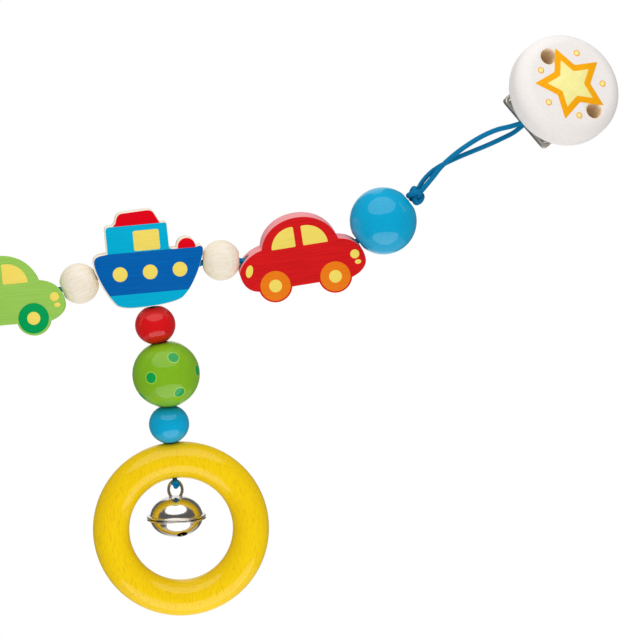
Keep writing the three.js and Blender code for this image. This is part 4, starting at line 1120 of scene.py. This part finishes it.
# Each car's edge paint is partly a thin stain and partly painted light from the overhead lamp.
for side, tilt, lean, edge_stain_and_painted_light, face_paint, tyre_paint in (
    ("right", 1.9, 4.5, red_edge_stain_and_painted_light, red_ink, orange_ink),
    ("left", -1.7, -7.0, green_edge_stain_and_painted_light, green_ink, tyre_ink),
):
    colour = CARS[side]
    place = figure_place(joint_middle(f"{colour}_car_roll"), tilt, lean)
    body, slot = f"{colour}_toy_car", f"{colour}_paint"
    sawn_board(f"{colour}_car_board", car, CAR_BORE_HEIGHT, edge_stain_and_painted_light, face_paint, place,
               [(FIGURE_BORE, ALONG)], body, slot, f"{colour}_car")
    for name, outlines, lift, ink in (
        ("tyres", tyres, INK_LIFT, tyre_paint),
        ("windows", panes, INK_LIFT, yellow_ink),
        ("hubs", hubs, OVERPRINT_LIFT, yellow_ink),
    ):
        ink_film(f"{colour}_car_{name}", outlines, CAR_BORE_HEIGHT, lift, ink, place, body, slot)

# %% [markdown]
# ## The boat
# The boat's board stays bare and its faces are printed in five fields: the hull, the strip below the
# waterline, the cabin, its roof and the winch on the foredeck. The outline is kept as those five stretches,
# so that the fields can be cut from it and meet each other exactly.

# %% Boat outline
KEEL, DECK, SHEER, BOAT_BORE_HEIGHT = -12.2, 6.5, 0.2, -0.7
CABIN_AFT, CABIN_FORE, CABIN_TOP, CABIN_ROUND, CABIN_FOOT = -13.4, 7.4, 15.4, 1.2, 0.9
ROOF_AFT, ROOF_FORE, ROOF_TOP, ROOF_SLOPE, ROOF_ROUND = -10.8, 5.0, 19.9, 1.4, 2.0
WINCH, WINCH_RADIUS = 12.9, 3.2
cabin_front = CABIN_FORE - 0.1
roof_front = ROOF_FORE - ROOF_SLOPE
hull = [Vector((CABIN_AFT, DECK))]
follow(hull, (CABIN_AFT - 1.6, DECK - SHEER))
follow(hull, (BOAT_STERN, DECK - 2 * SHEER), (BOAT_STERN, DECK - 3))
follow(hull, (0.98 * BOAT_STERN, 0.05 * KEEL), (0.8 * BOAT_STERN, 0.63 * KEEL),
       (0.64 * BOAT_STERN, 0.89 * KEEL))
follow(hull, (0.54 * BOAT_STERN, KEEL), (0.28 * BOAT_STERN, KEEL))
follow(hull, (0.05 * BOAT_BOW, KEEL), (0.43 * BOAT_BOW, 0.95 * KEEL), (0.56 * BOAT_BOW, 0.82 * KEEL))
follow(hull, (0.74 * BOAT_BOW, 0.62 * KEEL), (0.92 * BOAT_BOW, 0.07 * KEEL), (BOAT_BOW, DECK - 2.2))
follow(hull, (BOAT_BOW + 2 * SHEER, DECK + 1.5 * SHEER), (BOAT_BOW - 1.5, DECK + SHEER))
follow(hull, (WINCH + WINCH_RADIUS, DECK))
winch = [hull[-1]]
follow_arc(winch, (WINCH, DECK), WINCH_RADIUS, 0, math.pi)
cabin_fore = [winch[-1]]
follow(cabin_fore, (CABIN_FORE + CABIN_FOOT, DECK))
follow(cabin_fore, (CABIN_FORE, DECK), (CABIN_FORE, DECK + CABIN_FOOT))
follow(cabin_fore, (cabin_front, CABIN_TOP - CABIN_ROUND))
follow(cabin_fore, (cabin_front, CABIN_TOP), (cabin_front - CABIN_ROUND, CABIN_TOP))
follow(cabin_fore, (ROOF_FORE, CABIN_TOP))
roof = [cabin_fore[-1]]
follow(roof, (roof_front, ROOF_TOP - 0.9 * ROOF_ROUND))
follow(roof, (roof_front - 0.36 * ROOF_ROUND, ROOF_TOP), (roof_front - 1.36 * ROOF_ROUND, ROOF_TOP))
follow(roof, (ROOF_AFT + 1.8 * ROOF_ROUND, ROOF_TOP - 2 * SHEER))
follow(roof, (ROOF_AFT + 0.73 * ROOF_ROUND, ROOF_TOP - 2.5 * SHEER),
       (ROOF_AFT + 0.45 * ROOF_ROUND, ROOF_TOP - 1.8 * ROOF_ROUND))
follow(roof, (ROOF_AFT, CABIN_TOP))
cabin_aft = [roof[-1]]
follow(cabin_aft, (CABIN_AFT + 1.5 * CABIN_ROUND, CABIN_TOP))
follow(cabin_aft, (CABIN_AFT, CABIN_TOP), (CABIN_AFT, CABIN_TOP - 1.5 * CABIN_ROUND))
boat = hull + winch[1:] + cabin_fore[1:] + roof[1:] + cabin_aft[1:]
print("boat outline", len(boat), "points")

# %% Fields of ink
WATERLINE = -7.5
INK_MARGIN, INK_SHIFT = 0.3, Vector((0.22, -0.05))
WINDOW_AFT, WINDOW_FORE, WINDOW_TOP, WINDOW_ROUND = -4.1, 4.5, 13.2, 0.8
PORTHOLE, PORTHOLES = 4.9, [(-9.4, -0.7), (0.5, -0.7), (10.3, -0.7)]


def beside_waterline(outline, above):
    kept = []
    for i, point in enumerate(outline):
        last = outline[i - 1]
        if (point.y > WATERLINE) != (last.y > WATERLINE):
            kept.append(last.lerp(point, (WATERLINE - last.y) / (point.y - last.y)))
        if (point.y > WATERLINE) == above:
            kept.append(point)
    return kept


ink_edge = [point + INK_SHIFT for point in inset(boat, INK_MARGIN)]
ends = [0]
for stretch in (hull, winch, cabin_fore, roof, cabin_aft):
    ends.append(ends[-1] + len(stretch) - 1)
hull_ink, winch_ink, fore_ink, roof_ink, aft_ink = (ink_edge[a:b + 1] for a, b in zip(ends, ends[1:]))
cabin_ink = fore_ink[1:] + aft_ink + [ink_edge[0]]
window_corners = [
    (WINDOW_AFT, DECK), (WINDOW_FORE, DECK), (WINDOW_FORE, WINDOW_TOP), (WINDOW_AFT, WINDOW_TOP),
]
cabin_window = rounded([Vector(corner) for corner in window_corners], WINDOW_ROUND)
print("stretches of the outline", len(ends) - 1)

# %% Boat
BOAT_TILT, BOAT_LEAN = -2.0, -2.0
GLASS_LIFT = 0.1
place = figure_place(boat_place, BOAT_TILT, BOAT_LEAN)
keel_bore = [(0, CHAIN_BORE / 2), (BOAT_BORE_HEIGHT - KEEL + 2, CHAIN_BORE / 2)]
downwards = Matrix.Rotation(math.pi / 2, 4, "Y")
sawn_board("boat_board", boat, BOAT_BORE_HEIGHT, bare_edge, bare_edge, place,
           [(FIGURE_BORE, ALONG), (keel_bore, downwards)], "toy_boat", "boat_paint", "boat")
portholes = [oval(centre, PORTHOLE, PORTHOLE) for centre in PORTHOLES]
for name, outlines, lift, ink in (
    ("boat_hull_ink", [beside_waterline(hull_ink, True)], INK_LIFT, dark_blue_ink),
    ("boat_waterline_ink", [beside_waterline(hull_ink, False), cabin_ink], INK_LIFT, turquoise_ink),
    ("boat_roof_ink", [roof_ink, winch_ink], INK_LIFT, scarlet_ink),
    ("boat_window_ink", [cabin_window], GLASS_LIFT, yellow_ink),
    ("boat_porthole_ink", portholes, GLASS_LIFT, yellow_ink),
):
    ink_film(name, outlines, BOAT_BORE_HEIGHT, lift, ink, place, "toy_boat", "boat_paint")

# %% [markdown]
# ## Clip discs
# Each clip carries a disc of beech, turned with a generous round edge, whitewashed so that a little grain
# still shows, and drilled with two safety holes that are left in the wood. A plain star with dots is
# printed on its face.

# %% Disc and its holes
DISC_DIAMETER, DISC_THICKNESS, DISC_EDGE = 37.0, 13.0, 5.0
DISC_POSITION, DISC_BACK, DISC_SEGMENTS = 13.9, 3.4, 96
VENT, VENT_SPREAD, VENT_ROUND, VENT_SPARE = 5.0, 11.6, 0.5, 1.0
whitewash = board_paint("whitewashed beech", "#F2EDEA", "#EBE4E0", 0.42, 0.02)
bare_hole = board_paint("bare drilled beech", "#F7E4C8", "#ECD2AC", 0.7)
disc_profile = [(DISC_THICKNESS, 0.0)]
for centre, start in ((DISC_THICKNESS - DISC_EDGE, 0), (DISC_EDGE, math.pi / 2)):
    for turn in quarter(16):
        edge = DISC_DIAMETER / 2 - DISC_EDGE + DISC_EDGE * math.sin(start + turn)
        disc_profile.append((centre + DISC_EDGE * math.cos(start + turn), edge))
disc_profile.append((0.0, 0.0))
vent_sections = [(-VENT_SPARE, VENT / 2)]
for turn in quarter(4):
    mouth = DISC_THICKNESS - 2 * VENT_ROUND * (1 - math.sin(turn))
    vent_sections.append((mouth, VENT / 2 + VENT_ROUND * (1 - math.cos(turn))))
vent_sections.append((DISC_THICKNESS + VENT_SPARE, VENT / 2 + VENT_ROUND))
print("vent sections", len(vent_sections))

# %% Star print
STAR_RADIUS, STAR_WAIST, STAR_POINTS, STAR_HEART = 13.0, 6.8, 5, 0.66
STAR_ROUND, HEART_ROUND = 0.5, 0.4
DOT_RING, DOT_DIAMETER, DOT_HEART, DOT_ANGLES = 11.2, 2.2, 0.7, (36, 120, 180, 240, 324)
PRINT_LIFT, HEART_LIFT = 0.04, 0.07
star_orange = board_paint("warm orange ink", "#FBB012", "#F4A408")
star_yellow = board_paint("cream yellow ink", "#FAF2A4", "#F5EA92")


def star(scale, corner_round):
    points = []
    for i, turn in enumerate(turns(2 * STAR_POINTS)):
        reach = scale * (STAR_WAIST if i % 2 else STAR_RADIUS)
        points.append(Vector((reach * math.cos(turn), reach * math.sin(turn))))
    return rounded(points, corner_round)


def dots(scale):
    size = scale * DOT_DIAMETER
    places = [(DOT_RING * math.cos(a), DOT_RING * math.sin(a)) for a in map(math.radians, DOT_ANGLES)]
    return [oval(place, size, size) for place in places]


PRINTS = [
    ("star", [star(1, STAR_ROUND)], PRINT_LIFT, star_orange),
    ("star_heart", [star(STAR_HEART, HEART_ROUND)], HEART_LIFT, star_yellow),
    ("dot_rims", dots(1), PRINT_LIFT, star_orange),
    ("dots", dots(DOT_HEART), HEART_LIFT, star_yellow),
]
print("prints", len(PRINTS))

# %% Clip discs
for side, hand in SIDES.items():
    body = f"{side}_clip"
    out, bar, face = clip_axes(side)
    centre = (Vector((hand * BAIL_REACH, 0, 0)) + DISC_POSITION * out + DISC_BACK * face) * MM
    turned_frame = frame_at(centre, face, out, bar)
    skin = lathe(disc_profile, DISC_SEGMENTS)
    disc = make_piece(f"{side}_whitewashed_disc", *skin, [whitewash], turned_frame, weld=True)
    vent_places = [turned_frame @ Matrix.Translation((0, 0, end * VENT_SPREAD * MM)) for end in (1, -1)]
    cut_away(disc, [drill("vent", vent_sections, bare_hole, place) for place in vent_places])
    settle(disc, body, "white_lacquer", f"{side}_clip_disc")
    print_frame = frame_at(centre, out, -face, bar)
    for name, outlines, lift, ink in PRINTS:
        film = film_mesh(outlines, DISC_THICKNESS, lift, (-1,))
        piece = make_piece(f"{side}_{name}_print", *film, [ink], print_frame, FILM_SMOOTH_ANGLE)
        settle(piece, body, "white_lacquer")
    print(side, "disc faces", len(disc.data.polygons))

# %% [markdown]
# ## Clip metal
# The base, the lever, the pin and the rivet are stamped and bent sheet, so the solids already have the right
# shape. A small bevel breaks their edges, as tumbling does before plating. The bail's bars are rolled round
# so that they don't cut the cord, so a round wire is laid over them. The jaw pad is soft clear plastic.

# %% Clip finishes
EDGE_BREAK, BASE_EDGE_BREAK, BEVEL_SEGMENTS = 0.15, 0.4, 3
clear_plastic = two_tone(
    "clear soft plastic", ("#ECECE8", "#DEDEDA"), (1.5, 1.5, 1.5), {"Detail": 2.0},
    {"Roughness": 0.4, "IOR": 1.49, "Transmission Weight": 0.35},
)
CLIP_FINISHES = {
    "base": bright_nickel, "lever": worn_nickel, "pin": worn_nickel, "rivet": worn_nickel,
    "grip": clear_plastic,
}
for side in SIDES:
    for part, finish in CLIP_FINISHES.items():
        node = cad_nodes[f"{side}_clip_{part}"]
        node.data.materials.clear()
        node.data.materials.append(finish)
        edge = node.modifiers.new("broken edges", "BEVEL")
        edge.width = (BASE_EDGE_BREAK if part == "base" else EDGE_BREAK) * MM
        edge.segments = BEVEL_SEGMENTS
        edge.limit_method = "ANGLE"
        edge.angle_limit = math.radians(SMOOTH_ANGLE)
print("clip nodes", len(CLIP_FINISHES) * len(SIDES))

# %% Bail wires
BAIL_WIRE, BAIL_HALF_WIDTH, BAIL_DEPTH, BAIL_BEND = 1.38, 10.1, 3.6, 1.6
BAIL_POINT_STEP, BAIL_WIRE_STEP = 0.8, 0.4
bail_corners = [Vector((BAIL_DEPTH, 0))]
for corner, (x, y) in enumerate(((1, 1), (-1, 1), (-1, -1), (1, -1))):
    middle = BAIL_DEPTH / 2 + x * (BAIL_DEPTH / 2 - BAIL_BEND)
    centre = Vector((middle, y * (BAIL_HALF_WIDTH - BAIL_BEND)))
    for turn in quarter(3):
        turn += corner * math.pi / 2
        bail_corners.append(centre + BAIL_BEND * Vector((math.cos(turn), math.sin(turn))))
bail_corners.append(bail_corners[0])
bail_points = []
for here, there in zip(bail_corners, bail_corners[1:]):
    steps = max(1, round((there - here).length / BAIL_POINT_STEP))
    bail_points += [here.lerp(there, i / steps) for i in range(steps)]
bail_points.append(bail_corners[-1])
for side, hand in SIDES.items():
    out, bar, _ = clip_axes(side)
    points = [Vector((hand * BAIL_REACH, 0, 0)) + point.x * out + point.y * bar for point in bail_points]
    bail_wire, _, length = cord_piece(
        f"{side}_bail_wire", points, BAIL_WIRE, BAIL_WIRE_STEP, WIRE_SIDES, 0, bright_nickel,
    )
    settle(bail_wire, "clips", "nickel")
    print(side, "bail wire", round(length, 1), "mm")
